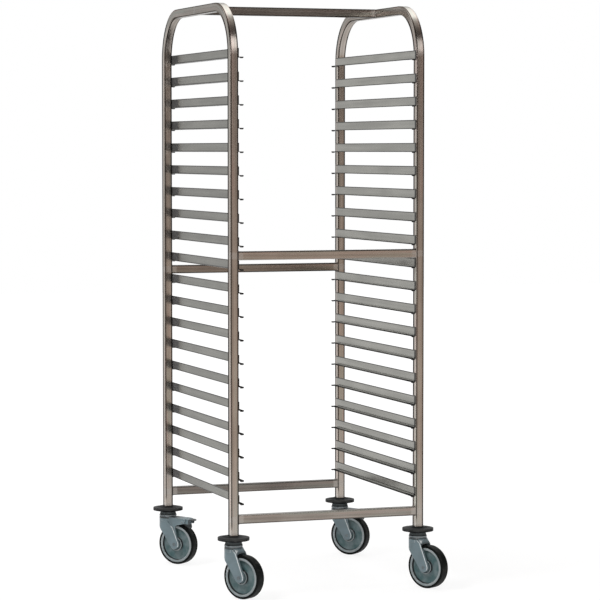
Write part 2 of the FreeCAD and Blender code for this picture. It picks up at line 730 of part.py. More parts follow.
def brake_pedal(name):
    """Foot plate with skirts, pin boss and curved shoe in one piece, which rocks on the pin."""
    body = new_body(name)
    plate = new_sketch(body, f"{name}_plate", "XZ_Plane")
    draw(plate, [corner(PEDAL_BACK, under_plate(PEDAL_BACK, "pedal_thickness")),
                 corner("pedal_reach", under_plate("pedal_reach", "pedal_thickness")),
                 corner("pedal_reach", pedal_top("pedal_reach")),
                 *grip_ridges(),
                 corner(PEDAL_BACK, pedal_top(PEDAL_BACK))])
    extrude(body, "Pad", plate, PEDAL_WIDTH)
    round_edges(body, "pedal_tip_rounding", at_pedal_tip)
    skirts = new_sketch(body, f"{name}_skirts", "XZ_Plane")
    skirt_bottom = f"({FORK_TOP} - skirt_drop)"
    draw(skirts, [corner("skirt_start", skirt_bottom),
                  corner("skirt_end - skirt_slope", skirt_bottom),
                  corner("skirt_end", under_plate("skirt_end", "pedal_thickness / 2")),
                  corner("skirt_start", under_plate("skirt_start", "pedal_thickness / 2"))])
    extrude(body, "Pad", skirts, PEDAL_WIDTH)
    hollow = new_sketch(body, f"{name}_hollow", "XZ_Plane")
    rear, front = "(skirt_start - skirt_thickness)", "(skirt_end + skirt_thickness)"
    draw(hollow, [corner(rear, f"{skirt_bottom} - skirt_thickness"),
                  corner(front, f"{skirt_bottom} - skirt_thickness"),
                  corner(front, under_plate(front, "pedal_thickness")),
                  corner(rear, under_plate(rear, "pedal_thickness"))])
    cut(body, "Pocket", hollow, f"{PEDAL_WIDTH} - 2 * skirt_thickness")
    near_x, near_z = released("shoe_near_angle")
    far_x, far_z = released("shoe_far_angle")
    boss = "(pin_boss_diameter / 2)"
    shoe = new_sketch(body, f"{name}_shoe", "XZ_Plane")
    draw(shoe, [corner(near_x, near_z, f"{WHEEL_RADIUS} + brake_gap"),
                corner(far_x, far_z),
                corner(far_x, f"{far_z} + shoe_heel"),
                corner("shoe_front_x", under_plate("shoe_front_x", "pedal_thickness / 2")),
                corner(f"{PIN_X} - {boss}", under_plate(PIN_X, "pedal_thickness / 2")),
                around(PIN_X, PIN_HEIGHT, boss)])
    extrude(body, "Pad", shoe, "shoe_width")
    bore = new_sketch(body, f"{name}_bore", "XZ_Plane")
    draw_circle(bore, PIN_X, PIN_HEIGHT, "pin_diameter / 2 + running_gap")
    cut(body, "Pocket", bore, f"2 * {FORK_WIDTH}")
    return body


def at_pedal_tip(edge):
    """Is this one of the two upright edges at the tip of the foot plate?"""
    tip = value("pedal_reach")
    on_tip = all(abs(vertex.X - tip) < 1e-3 for vertex in edge.Vertexes)
    return on_tip and edge.Length < value("2 * pedal_thickness")


def brake_pin(name):
    body = new_body(name)
    section = new_sketch(body, f"{name}_section", "XZ_Plane")
    draw_circle(section, PIN_X, PIN_HEIGHT, "pin_diameter / 2")
    extrude(body, "Pad", section, NOSE_WIDTH)
    return body


def caster(corner_name, side, end, braked):
    """Everything that turns under one post: fork, axle, wheel and, at the rear, the pedal brake."""
    post_x = f"{side} * {POST_X}"
    post_y = f"{end} * {POST_Y}"
    angle = f"{corner_name}_swivel_angle"
    if braked:
        swivelled = [braked_fork(f"{corner_name}_fork"), brake_pedal(f"{corner_name}_brake_pedal"),
                     brake_pin(f"{corner_name}_brake_pin")]
    else:
        swivelled = [plain_fork(f"{corner_name}_fork")]
    for body in swivelled:
        place(body, post_x, post_y, "0", angle)
    on_axle = [make(f"{corner_name}_{make.__name__}") for make in (axle, axle_sleeve, wheel_core, tyre)]
    for body in on_axle:
        place(body, f"{post_x} + trail * cos({angle})", f"{post_y} + trail * sin({angle})",
              AXLE_HEIGHT, angle)
    for body in swivelled + on_axle:
        keep(body.Name, body)


CORNERS = {
    "front_left": (-1, -1, False),
    "front_right": (1, -1, False),
    "rear_left": (-1, 1, True),
    "rear_right": (1, 1, True),
}


def on_every_post(make, plural=None):
    """One fixed piece of the swivel stack on each post, as four nodes or as one node of four solids."""
    bodies = []
    for corner_name, (side, end, _) in CORNERS.items():
        body = make(f"{corner_name}_{make.__name__}")
        place(body, f"{side} * {POST_X}", f"{end} * {POST_Y}", "0")
        bodies.append(body)
    if plural:
        keep(plural, *bodies)
        return
    for body in bodies:
        keep(body.Name, body)


def mid_bar_bottom(runners_above):
    """Where a middle crossbar lies, just over the top of the runner below it."""
    return f"({RUNNER_TOP} - {runners_above} * {RUNNER_PITCH} + mid_bar_gap)"


def check_and_write():
    """Stop on any failed object or bad solid, then write one file for each node."""
    doc.recompute()
    failed = [o.Name for o in doc.Objects if "Invalid" in o.State or "Error" in o.State]
    if failed:
        raise RuntimeError(f"failed objects: {failed}")
    for node in nodes:
        if node.Shape.isNull() or not node.Shape.isValid():
            raise RuntimeError(f"{node.Label} has no valid shape")
    os.makedirs("parts", exist_ok=True)
    for node in nodes:
        node.Shape.exportStep(f"parts/{node.Label}.step")
        print(node.Label, len(node.Shape.Solids), "solids,", round(node.Shape.Volume), "mm3")


side_frame("side_frame_left", -1)
side_frame("side_frame_right", 1)
crossbar("top_crossbar", "0", "(frame_height - tube_size)")
crossbar("front_mid_crossbar", f"-{POST_Y}", mid_bar_bottom(RUNNER_COUNT_ABOVE_FRONT_BAR))
crossbar("rear_mid_crossbar", POST_Y, mid_bar_bottom(RUNNER_COUNT_ABOVE_REAR_BAR))
crossbar("front_low_crossbar", f"-{POST_Y}", "low_bar_height")
crossbar("rear_low_crossbar", POST_Y, "low_bar_height")
for level in range(RUNNER_COUNT):
    runner_pair(level)
on_every_post(bumper)
on_every_post(expander_plug, "expander_plugs")
on_every_post(stem_bolt, "stem_bolts")
on_every_post(swivel_head, "swivel_heads")
on_every_post(swivel_bearing, "swivel_bearings")
for corner_name, (side, end, braked) in CORNERS.items():
    caster(corner_name, side, end, braked)
check_and_write()
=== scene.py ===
"""Finishes, weld metal and studio for a tray trolley, laid out as an add-on and run as a script."""

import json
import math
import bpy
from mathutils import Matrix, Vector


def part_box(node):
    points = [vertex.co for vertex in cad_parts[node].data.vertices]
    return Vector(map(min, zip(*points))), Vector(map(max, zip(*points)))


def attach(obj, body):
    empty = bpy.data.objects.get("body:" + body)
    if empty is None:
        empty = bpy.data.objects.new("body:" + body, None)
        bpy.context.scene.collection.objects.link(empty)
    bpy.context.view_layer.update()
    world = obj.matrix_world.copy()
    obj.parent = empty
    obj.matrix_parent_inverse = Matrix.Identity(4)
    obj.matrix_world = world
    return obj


bl_info = {
    "name": "Tray trolley",
    "version": (1, 0, 0),
    "blender": (4, 5, 0),
    "location": "View3D > Sidebar > Trolley",
    "description": "Finishes, weld metal and studio for a gastronorm tray trolley",
    "category": "Object",
}

import bmesh
import bpy
from bpy.props import FloatProperty, FloatVectorProperty, PointerProperty
from bpy.types import NodeSocket, Operator, Panel, PropertyGroup
from mathutils import Vector

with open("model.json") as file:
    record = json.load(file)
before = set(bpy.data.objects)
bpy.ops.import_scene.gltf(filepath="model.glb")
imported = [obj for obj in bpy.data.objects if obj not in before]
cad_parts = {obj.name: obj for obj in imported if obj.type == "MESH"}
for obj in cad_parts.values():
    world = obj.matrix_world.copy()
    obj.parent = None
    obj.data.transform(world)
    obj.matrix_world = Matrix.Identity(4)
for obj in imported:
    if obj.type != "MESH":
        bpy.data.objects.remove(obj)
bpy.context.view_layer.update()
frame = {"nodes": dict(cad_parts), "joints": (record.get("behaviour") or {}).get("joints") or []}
MM = 0.001

SIDE_FRAMES = ("side_frame_left", "side_frame_right")
FRONT_BARS = ("front_mid_crossbar", "front_low_crossbar")
REAR_BARS = ("rear_mid_crossbar", "rear_low_crossbar")
TOP_BAR = "top_crossbar"
CORNERS = ("front_left", "front_right", "rear_left", "rear_right")
BRAKED = ("rear_left", "rear_right")
RUNNERS = [name for name in sorted(frame["nodes"]) if name.startswith("runner_pair")]
JOINTS = {joint["name"]: joint for joint in frame["joints"]}


# Settings

def colour(name, default, description):
    """A colour that a user may change."""
    return FloatVectorProperty(name=name, description=description, default=default, subtype="COLOR",
                               size=3, min=0, max=1)


def length(name, default, description):
    """A length that a user may change, in metres."""
    return FloatProperty(name=name, description=description, default=default, subtype="DISTANCE",
                         unit="LENGTH", min=0, precision=4)


def share(name, default, description):
    """A plain number from 0 to 1 that a user may change."""
    return FloatProperty(name=name, description=description, default=default, subtype="FACTOR",
                         min=0, max=1)


def power(name, default, description):
    """The power of a lamp that a user may change, in watts."""
    return FloatProperty(name=name, description=description, default=default, subtype="POWER",
                         unit="POWER")


class SteelSettings(PropertyGroup):
    """Brushed steel of the tubes, satin steel of the runners and zinc plating of the small parts."""

    tube_pale: colour("Tube, pale", (0.48, 0.44, 0.40), "Paler streaks of the brushed tube")
    tube_deep: colour("Tube, deep", (0.33, 0.295, 0.265), "Deeper streaks of the brushed tube")
    tube_rosy: colour("Tube, rosy", (0.46, 0.375, 0.34), "Rosy streaks of the brushed tube")
    tube_cool: colour("Tube, cool", (0.385, 0.40, 0.36), "Cool streaks of the brushed tube")
    # tube_corner_shade is painted shade: dark lines along the tube's rounded corners
    tube_corner_shade: colour("Tube corner", (0.045, 0.039, 0.035), "Unbrushed skin on the tube's rounded corners")
    tube_clean: colour("Weld zone", (0.50, 0.48, 0.455), "Tube cleaned after welding")
    tube_roughness: share("Tube roughness", 0.24, "Gloss of the brushed tube")
    grazing: share("Edge glint", 0.6, "How much of the glint at a grazing view the steel keeps")
    clean_band: length("Weld zone width", 14 * MM, "Width of the cleaned zone beside a weld")
    runner_pale: colour("Runner, pale", (0.34, 0.336, 0.312), "Paler patches of the runners")
    runner_deep: colour("Runner, deep", (0.27, 0.267, 0.248), "Deeper patches of the runners")
    # runner_edge_shade_and_dark_steel is painted shade along the runners' top edges, folds and ends, and a
    # grain tone of the dark rolled ends
    runner_edge_shade_and_dark_steel: colour("Runner edge", (0.075, 0.073, 0.07), "Sheared and folded edges of the runners")
    runner_heat: colour("Runner on post", (0.44, 0.395, 0.365), "Runners tinted by welding on a post")
    # runner_post_shadow is the painted shadow of the rear post on the runners' outer faces
    runner_post_shadow: colour("Runner by post", (0.078, 0.078, 0.081), "Scale left by welding beside a post")
    # runner_tab_shade_and_dark_steel is painted shade on the ends and lips of the runners' flanges, and the
    # dark steel of the rolled ends
    runner_tab_shade_and_dark_steel: colour("Flange end", (0.02, 0.02, 0.02), "Unpolished ends and lips of the runners' flanges")
    runner_roughness: share("Runner roughness", 0.22, "Gloss of the rolled runner sheet")
    zinc_pale: colour("Zinc, pale", (0.62, 0.64, 0.66), "Paler grains of zinc plating")
    zinc_deep: colour("Zinc, deep", (0.45, 0.47, 0.49), "Deeper grains of zinc plating")
    dull_pale: colour("Dull zinc, pale", (0.24, 0.275, 0.29), "Paler grains of dulled zinc")
    dull_deep: colour("Dull zinc, deep", (0.16, 0.185, 0.20), "Deeper grains of dulled zinc")


class PlasticSettings(PropertyGroup):
    """Moulded plastic and rubber of the casters."""

    fork: colour("Fork", (0.176, 0.241, 0.269), "Moulded fork and brake pedal")
    # fork_wear_and_highlight: pale edges of the moulded plastic, partly rubbed wear and partly painted
    # highlight
    fork_wear_and_highlight: colour("Fork edge", (0.36, 0.41, 0.43), "Fork plastic rubbed pale along its edges")
    # fork_glint is a painted highlight along the front edges of the fork's legs
    fork_glint: colour("Fork, front edge", (0.70, 0.76, 0.78), "Polished front edges of the fork's legs")
    # dark_and_shade is painted shade in the groove under a fork's cap, under the nose, on a pedal's shoe
    # and on the wheels' walls, and the darker tip of a pedal
    dark_and_shade: colour("Recess", (0.006, 0.008, 0.009), "Grooves, walls and undersides that stay dark")
    core: colour("Wheel disc", (0.064, 0.131, 0.140), "Recessed disc of the wheel")
    rim: colour("Wheel rim", (0.38, 0.42, 0.435), "Smooth rim band beside the tyre")
    tyre: colour("Tyre", (0.004, 0.0052, 0.0052), "Tread rubber")
    tyre_dust: colour("Tyre dust", (0.05, 0.05, 0.048), "Dust on the tread rubber")
    bumper: colour("Bumper", (0.007, 0.008, 0.009), "Bumper rubber")
    # bumper_highlight_band is a painted highlight in a band round the bumper's rim
    bumper_highlight_band: colour("Bumper band", (0.054, 0.056, 0.056), "Rubbed band round the bumper's rim")
    bumper_scuff: colour("Bumper scuff", (0.08, 0.08, 0.08), "Scuffs on the bumper's rim")
    head: colour("Swivel cap", (0.24, 0.28, 0.30), "Cap ring under the bumper")
    neck: colour("Bumper neck", (0.130, 0.150, 0.158), "Neck under the bumper's disc")
    plug: colour("Plug", (0.03, 0.03, 0.032), "Expander plug inside a post")


class WeldSettings(PropertyGroup):
    """Weld metal at the joints of the frame."""

    bead_leg: length("Bead size", 1.8 * MM, "Leg of the fillet weld beside a crossbar")
    tack_leg: length("Tack size", 1.3 * MM, "Leg of the tack weld above a runner")
    tack_length: length("Tack length", 11 * MM, "Length of the tack weld above a runner")
    rolled_leg: length("Rolled end", 3.2 * MM, "Thickness of the bead under the end of a flange")
    ripple: length("Ripple", 1.7 * MM, "Distance from one ripple of the weld to the next")
    bead: colour("Weld metal", (0.42, 0.39, 0.36), "Weld metal, cleaned")
    bead_heat: colour("Heat tint", (0.24, 0.19, 0.15), "Straw tint beside the weld")


class StudioSettings(PropertyGroup):
    """Camera, floor, cards and lamps."""

    camera_place: FloatVectorProperty(
        name="Camera", description="Where the camera stands", default=(-2.5236, -7.3088, 1.273),
        subtype="TRANSLATION", unit="LENGTH", size=3)
    camera_aim: FloatVectorProperty(
        name="Aim", description="Direction the camera looks in", default=(0.3297, 0.9423, -0.0577),
        subtype="DIRECTION", size=3)
    camera_lens: FloatProperty(
        name="Lens", description="Focal length on a 36 mm sensor", default=155.41,
        subtype="DISTANCE_CAMERA", unit="CAMERA")
    floor_reach: length("Floor", 15, "How far the floor goes to the sides and the back")
    floor_front: length("Floor, front", 2.2, "How far the floor goes to the front")
    fill: share("Fill", 0.38, "Level of the even light from all round")
    wall_low: colour("Wall, low", (0.74, 0.62, 0.535), "Lower part of the wall behind the camera")
    wall_high: colour("Wall, high", (0.22, 0.185, 0.165), "Upper part of the wall behind the camera")
    canopy: colour("Canopy", (0.10, 0.085, 0.08), "Cloth over the front of the studio")
    canopy_back: colour("Canopy, back", (0.66, 0.60, 0.56), "Back edge of the cloth, near the top lamp")
    key_power: power("Key", 148, "Power of the lamp high on the left")
    edge_power: power("Edge", 40, "Power of the small lamp on the left in front")
    front_power: power("Front", 22, "Power of the lamp high on the right in front")
    top_power: power("Top", 76, "Power of the lamp overhead")


# Materials

# The narrow and the wide middle of a noise
NOISE_CORE = (0.35, 0.65)
NOISE_SPAN = (0.3, 0.7)

# How alike a face's own normal and its rounded one are, on flat faces and on edges that are rubbed pale and
# carry a painted highlight
WORN_AND_LIT_EDGE = (0.995, 0.90)
BEVEL_SAMPLES = 6


def plug(tree, socket, fed):
    """Feed a socket from another node's output, or set it to a constant."""
    if isinstance(fed, NodeSocket):
        tree.links.new(fed, socket)
    else:
        socket.default_value = fed


def add_node(tree, kind, inputs=None, output=0, **settings):
    """A new node with its settings and inputs, of which one output is handed over."""
    made = tree.nodes.new(kind)
    for name, setting in settings.items():
        setattr(made, name, setting)
    for socket, fed in (inputs or {}).items():
        plug(tree, made.inputs[socket], fed)
    return made.outputs[output]


class Look:
    """One material under construction: short calls for its nodes, and the shader that they feed."""

    def __init__(self, name, **constants):
        self.material = bpy.data.materials.new(name)
        self.material.use_nodes = True
        self.tree = self.material.node_tree
        self.shader = self.tree.nodes["Principled BSDF"]
        self.place = self.node("ShaderNodeTexCoord", output="Object")
        self.x, self.y, self.z = self.axes(self.place)
        self.feed(**constants)

    def feed(self, **sockets):
        """Feed or set sockets of the shader, and hand over the material."""
        for name, fed in sockets.items():
            plug(self.tree, self.shader.inputs[name.replace("_", " ")], fed)
        return self.material

    def surface(self, base, relief, strength, depth, **sockets):
        """Feed the shader with a colour, a relief and more, and hand over the material."""
        bump = self.node("ShaderNodeBump", {"Height": relief, "Strength": strength, "Distance": depth})
        return self.feed(Base_Color=base, Normal=bump, **sockets)

    def node(self, kind, inputs=None, output=0, **settings):
        return add_node(self.tree, kind, inputs, output, **settings)

    def math(self, operation, first, second=0.0):
        return self.node("ShaderNodeMath", {0: first, 1: second}, operation=operation)

    def plus(self, first, second):
        return self.math("ADD", first, second)

    def minus(self, first, second):
        return self.math("SUBTRACT", first, second)

    def times(self, first, *others):
        for other in others:
            first = self.math("MULTIPLY", first, other)
        return first

    def largest(self, first, *others):
        for other in others:
            first = self.math("MAXIMUM", first, other)
        return first

    def unsigned(self, value):
        return self.math("ABSOLUTE", value)

    def vector(self, operation, first, second=(0, 0, 0), output="Vector"):
        return self.node("ShaderNodeVectorMath", {0: first, 1: second}, output, operation=operation)

    def dot(self, first, second):
        return self.vector("DOT_PRODUCT", first, second, "Value")

    def length_of(self, vector):
        return self.vector("LENGTH", vector, output="Value")

    def scaled(self, vector, factor):
        return self.node("ShaderNodeVectorMath", {0: vector, "Scale": factor}, operation="SCALE")

    def axes(self, vector):
        """The three numbers of a vector."""
        return tuple(self.node("ShaderNodeSeparateXYZ", {0: vector}).node.outputs)

    def join(self, x, y, z):
        return self.node("ShaderNodeCombineXYZ", {0: x, 1: y, 2: z})

    def facing(self):
        """The direction that a face looks in."""
        return self.node("ShaderNodeTexCoord", output="Normal")

    def noise(self, cells, detail=2.0, place=None):
        """Noise with a number of cells per metre, at the face's own place or at a given one."""
        place = self.place if place is None else place
        return self.node("ShaderNodeTexNoise", {"Vector": place, "Scale": cells, "Detail": detail}, "Fac")

    def stretched_noise(self, place, cells, detail=2.0):
        """Noise with its own number of cells along each axis."""
        return self.noise(1.0, detail, self.vector("MULTIPLY", place, cells))

    def weighed(self, first, second, part):
        """Two noises added up, with a part of the first and the rest of the second."""
        return self.plus(self.times(first, part), self.times(second, 1 - part))

    def ease(self, value, low, high, at_low=0.0, at_high=1.0):
        """A smooth step from one value to another as an input goes from low to high."""
        return self.node("ShaderNodeMapRange", {0: value, 1: low, 2: high, 3: at_low, 4: at_high},
                         interpolation_type="SMOOTHSTEP")

    def swing(self, noise, low, high):
        """A number that goes from low to high over the usual span of a noise."""
        return self.ease(noise, *NOISE_SPAN, low, high)

    def between(self, value, start, end):
        """1 between a start and an end, each given by where it is 0 and where it is 1."""
        return self.times(self.ease(value, *start), self.ease(value, *end))

    def blend(self, factor, first, second):
        """A number between two numbers."""
        return self.node("ShaderNodeMix", {0: factor, 2: first, 3: second})

    def mix(self, factor, first, second):
        """A colour between two colours."""
        ends = [end if isinstance(end, NodeSocket) else (*end, 1.0) for end in (first, second)]
        return self.node("ShaderNodeMix", {0: factor, 6: ends[0], 7: ends[1]}, 2, data_type="RGBA")

    def edges_worn_and_lit(self, radius):
        """0 on flat faces, rising to 1 along the piece's own edges, within a radius of them."""
        rounded = self.node("ShaderNodeBevel", {"Radius": radius}, samples=BEVEL_SAMPLES)
        flat = self.node("ShaderNodeNewGeometry", output="Normal")
        return self.ease(self.dot(rounded, flat), *WORN_AND_LIT_EDGE)


def shaded(tint, level):
    """A colour brought down to a level."""
    return tuple(level * part for part in tint)


def dress(material, *names):
    """Give CAD nodes a material."""
    for name in names:
        mesh = frame["nodes"][name].data
        mesh.materials.clear()
        mesh.materials.append(material)


def middle(name):
    """The middle of a CAD node."""
    low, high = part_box(name)
    return (low + high) / 2


# Steel

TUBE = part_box(SIDE_FRAMES[0])[1].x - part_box(SIDE_FRAMES[0])[0].x
BEND_LINE = 137.5 * MM
BEND_RADIUS = BEND_LINE + TUBE / 2
FRAME_LOW, FRAME_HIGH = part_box(SIDE_FRAMES[0])

# Level of the steel on the side faces of the posts and on those of the rails, painted light: painted shade
# towards the rear and a painted highlight strip towards the front
REAR_LEVEL, FRONT_LEVEL, FRONT_HIGHLIGHT = 0.2, 1.1, 0.5
RAIL_LEVEL = 0.8

# Noise cells per metre along a tube and across it
FINE_BRUSH = (2, 1100, 1100)
COARSE_BRUSH = (2.5, 190, 190)
ROSY_BRUSH = (4, 110, 110)
COOL_BRUSH = (3, 120, 120)
COOL_SHIFT = (7, 3, 5)
BLOTCH = 14
RAGGED_EDGE = 160

# Noise at which a streak begins and is full, and how far it covers the steel
ROSY_STREAK = (0.5, 0.66, 0.0, 0.75)
COOL_STREAK = (0.52, 0.66, 0.0, 0.7)

# How far the cleaned zones and the painted corner shade cover the steel, and how wide a zone is on a frame
ZONE_COVER = 0.5
CORNER_COVER = 0.92
ZONE_ON_FRAME = 0.7

# Level of the steel, painted light that darkens or brightens each crossbar for how light falls on it, and
# how much painted shade the upper and the lower edges of a crossbar keep
BARS = {
    "top_crossbar": (0.52, 1.0, 1.0),
    "front_mid_crossbar": (1.05, 1.0, 0.3),
    "front_low_crossbar": (0.74, 0.0, 0.8),
    "rear_mid_crossbar": (0.70, 1.0, 1.0),
    "rear_low_crossbar": (0.50, 0.6, 0.7),
}


def of_tube(*shares):
    """Lengths given as shares of the tube's width."""
    return [TUBE * part for part in shares]


def along_side_frame(look):
    """Place along a bent side frame, and the two places across it from the middle of its tube."""
    sideways = look.minus(look.unsigned(look.y), FRAME_HIGH.y - BEND_RADIUS)
    upwards = look.minus(look.z, FRAME_HIGH.z - BEND_RADIUS)
    corner = look.join(look.largest(sideways, 0.0), look.largest(upwards, 0.0), 0.0)
    inside = look.math("MINIMUM", look.largest(sideways, upwards), 0.0)
    across = look.minus(look.plus(look.length_of(corner), inside), BEND_LINE)
    aside = look.minus(look.unsigned(look.x), abs(middle(SIDE_FRAMES[0]).x))
    return look.plus(look.y, look.z), aside, across


def frontwards(look, upright):
    """Place in front of the middle of a side frame's tube, which follows the bends."""
    return look.times(upright, look.math("SIGN", look.y), -1.0)


def below_rail(look):
    """1 on a side frame's posts, fading to 0 in the upper half of the bend."""
    return look.ease(look.z, FRAME_HIGH.z - BEND_RADIUS * 0.1, FRAME_HIGH.z - BEND_RADIUS * 0.5)


def side_face_light(look, across, upright):
    """Level of the steel on a side frame's two side faces, painted light: painted shade towards the rear
    and a painted highlight towards the front, and 1 elsewhere.
    """
    forward = frontwards(look, upright)
    bend = FRAME_HIGH.z - BEND_RADIUS
    strip = look.times(look.ease(forward, *of_tube(0.15, 0.40), 0.0, FRONT_HIGHLIGHT),
                       look.ease(look.z, bend + TUBE, bend))
    level = look.plus(look.ease(forward, *of_tube(-0.35, 0.2), REAR_LEVEL, FRONT_LEVEL), strip)
    level = look.blend(below_rail(look), RAIL_LEVEL, level)
    on_side = look.ease(look.unsigned(across), *of_tube(0.44, 0.48))
    return look.blend(on_side, 1.0, level)


def frame_corner_shade(look, across, upright):
    """Painted shade: 1 along the edges of a side frame's front faces, along its rear edges and, in part,
    along its rails, where dark lines stand in for shade.
    """
    forward = frontwards(look, upright)
    right = look.times(across, look.math("SIGN", look.x))
    bend = FRAME_HIGH.y - BEND_RADIUS
    foot = middle(FRONT_BARS[1]).z
    left_line = look.times(
        look.between(right, of_tube(-0.47, -0.41), of_tube(-0.27, -0.34)),
        look.ease(look.unsigned(look.y), bend, bend + TUBE),
        look.ease(look.z, foot - TUBE * 1.4, foot - TUBE * 0.5))
    right_line = look.times(look.ease(right, *of_tube(0.27, 0.36)), below_rail(look))
    front = look.times(look.largest(left_line, right_line),
                       look.ease(forward, *of_tube(0.40, 0.46)))
    rear = look.times(look.ease(look.unsigned(across), *of_tube(0.3, 0.4)),
                      look.ease(forward, *of_tube(-0.06, -0.30), 0.0, 0.95), below_rail(look))
    offset = look.plus(look.unsigned(across), look.unsigned(upright))
    on_rail = look.times(look.ease(offset, *of_tube(0.87, 0.92), 0.0, 0.6),
                         look.minus(1.0, below_rail(look)))
    return look.largest(front, rear, on_rail)


def along_bar(look, bar):
    """Place along a crossbar, and the two places across it from the middle of its tube."""
    return look.axes(look.vector("SUBTRACT", look.place, middle(bar)))


def bar_corner_shade(look, across, upright, upper, lower):
    """How far the upper and lower edges of a crossbar are darkened by painted shade."""
    offset = look.plus(look.unsigned(across), look.unsigned(upright))
    skin = look.ease(upright, -1 * MM, 1 * MM, lower, upper)
    return look.times(look.ease(offset, *of_tube(0.83, 0.90)), skin)


def near(look, distance, reach):
    """1 close to a joint, fading out beyond a reach, with an uneven edge."""
    ragged = look.times(look.noise(RAGGED_EDGE), reach * 0.5)
    return look.ease(look.plus(distance, ragged), reach * 1.35, reach * 1.05)


def cleaned_on_bars(look, steel):
    """Zones at both ends of a crossbar."""
    distance = look.minus(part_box(TOP_BAR)[1].x, look.unsigned(look.x))
    return near(look, distance, steel.clean_band)


def cleaned_on_frames(look, steel):
    """Zones on the posts and rails where the crossbars join them, and at the posts' lower ends."""
    reach = steel.clean_band * ZONE_ON_FRAME
    on_rail = look.ease(look.z, FRAME_HIGH.z - 1.5 * TUBE, FRAME_HIGH.z - TUBE)
    zone = look.times(near(look, look.unsigned(look.y), reach), on_rail)
    zone = look.largest(zone, near(look, look.minus(look.z, FRAME_LOW.z), reach))
    for names, compare in ((FRONT_BARS, "LESS_THAN"), (REAR_BARS, "GREATER_THAN")):
        for name in names:
            beside = near(look, look.unsigned(look.minus(look.z, middle(name).z)), reach)
            zone = look.largest(zone, look.times(beside, look.math(compare, look.y, 0.0)))
    return zone


def brushed_tube(name, steel, along, corners, cleaned, level=1.0, sides=None):
    """Warm brushed steel: streaks along the tube, painted shade on the corners, painted light at a given
    level and on given side faces, and paler zones cleaned after welding.
    """
    look = Look(name, Metallic=1.0)
    run, across, upright = along(look)
    brush = look.join(run, across, upright)
    fine = look.stretched_noise(brush, FINE_BRUSH)
    coarse = look.stretched_noise(brush, COARSE_BRUSH, detail=3.0)
    rosy = look.stretched_noise(brush, ROSY_BRUSH)
    cool = look.stretched_noise(look.vector("ADD", brush, COOL_SHIFT), COOL_BRUSH)
    tone = look.weighed(coarse, look.noise(BLOTCH, detail=3.0), 0.7)
    # level is painted light on the crossbars, and 1 on the side frames
    base = look.mix(look.ease(tone, 0.32, 0.68), shaded(steel.tube_deep, level),
                    shaded(steel.tube_pale, level))
    base = look.mix(look.ease(rosy, *ROSY_STREAK), base, shaded(steel.tube_rosy, level))
    base = look.mix(look.ease(cool, *COOL_STREAK), base, shaded(steel.tube_cool, level))
    zone = cleaned(look, steel)
    base = look.mix(look.times(zone, ZONE_COVER), base, steel.tube_clean)
    # Painted light on the side faces, where given
    if sides:
        base = look.scaled(base, sides(look, across, upright))
    # Painted shade on the corners: the colour goes dark, and the corners' mirror tint goes to black with it
    corner = corners(look, across, upright)
    base = look.mix(look.times(corner, CORNER_COVER), base, steel.tube_corner_shade)
    graze = look.mix(corner, (steel.grazing,) * 3, (0.0, 0.0, 0.0))
    gloss = look.ease(fine, 0.25, 0.75, steel.tube_roughness - 0.05, steel.tube_roughness + 0.05)
    gloss = look.plus(gloss, look.times(zone, 0.08))
    height = look.plus(fine, look.times(coarse, 0.5))
    return look.surface(base, height, 0.06, 0.05 * MM, Roughness=gloss, Specular_Tint=graze)


class TROLLEY_OT_tubes(Operator):
    """Brushed steel on the bent side frames and the crossbars"""

    bl_idname = "trolley.tubes"
    bl_label = "Tubes"

    def execute(self, context):
        steel = context.scene.trolley_steel
        bent = brushed_tube("brushed_side_frame", steel, along_side_frame, frame_corner_shade,
                            cleaned_on_frames, sides=side_face_light)
        dress(bent, *SIDE_FRAMES)
        # Each bar's level is painted light: the front mid bar is lit above 1, and the others carry painted
        # shade below it
        for bar, (level, upper, lower) in BARS.items():
            straight = brushed_tube(
                f"brushed_{bar}", steel, lambda look: along_bar(look, bar),
                lambda look, across, upright: bar_corner_shade(look, across, upright, upper, lower),
                cleaned_on_bars, level)
            dress(straight, bar)
        return {"FINISHED"}


LIP_REACH = 15 * MM
# Length of the painted shade at each end of a flange
TAB_LENGTH = 45 * MM
# Painted shadow of the rear post on a runner: its length, and how softly it begins
POST_SHADOW_LENGTH = 66 * MM
POST_SHADOW_FADE = 2 * MM

# Noise cells per metre across, along and up a runner
RUNNER_GRAIN = (1200, 12, 1200)
RUNNER_ROLL = (60, 2.5, 90)
RUNNER_CLOUD = 7

# Depths from the outer face of a runner: over the middle of its sheet, and where its flange begins
SHEET_MIDDLE = (0.5 * MM, 1.0 * MM)
FLANGE_START = (2.2 * MM, 3.2 * MM)

# Lines of painted shade along a runner's edges, from the distance where each is 0 to the distance where it
# is 1
TOP_LINE = (3.4 * MM, 1.6 * MM)
FOLD_LINE = (4.6 * MM, 2.4 * MM)
FOLD_DEPTH = (1.6 * MM, 0.9 * MM)
END_LINE = (1.2 * MM, 0.3 * MM)
LIP_LINE = (6.5 * MM, 5.0 * MM)

# Painted light on the inner face, and levels of the painted shadow of the rear post on the top and on the
# bottom runners
INSIDE_LIGHT = 1.2
POST_SHADOW_LEVELS = (0.72, 1.45)

# How far painted shade on the edges, painted shade on the lips, the painted post shadow and heat tint cover
# the steel
EDGE_COVER, LIP_COVER, POST_SHADOW_COVER, HEAT_COVER = 0.95, 0.95, 0.85, 0.6


def runner_depth(look):
    """Depth from the outer face of a runner."""
    return look.minus(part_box(RUNNERS[0])[1].x, look.unsigned(look.x))


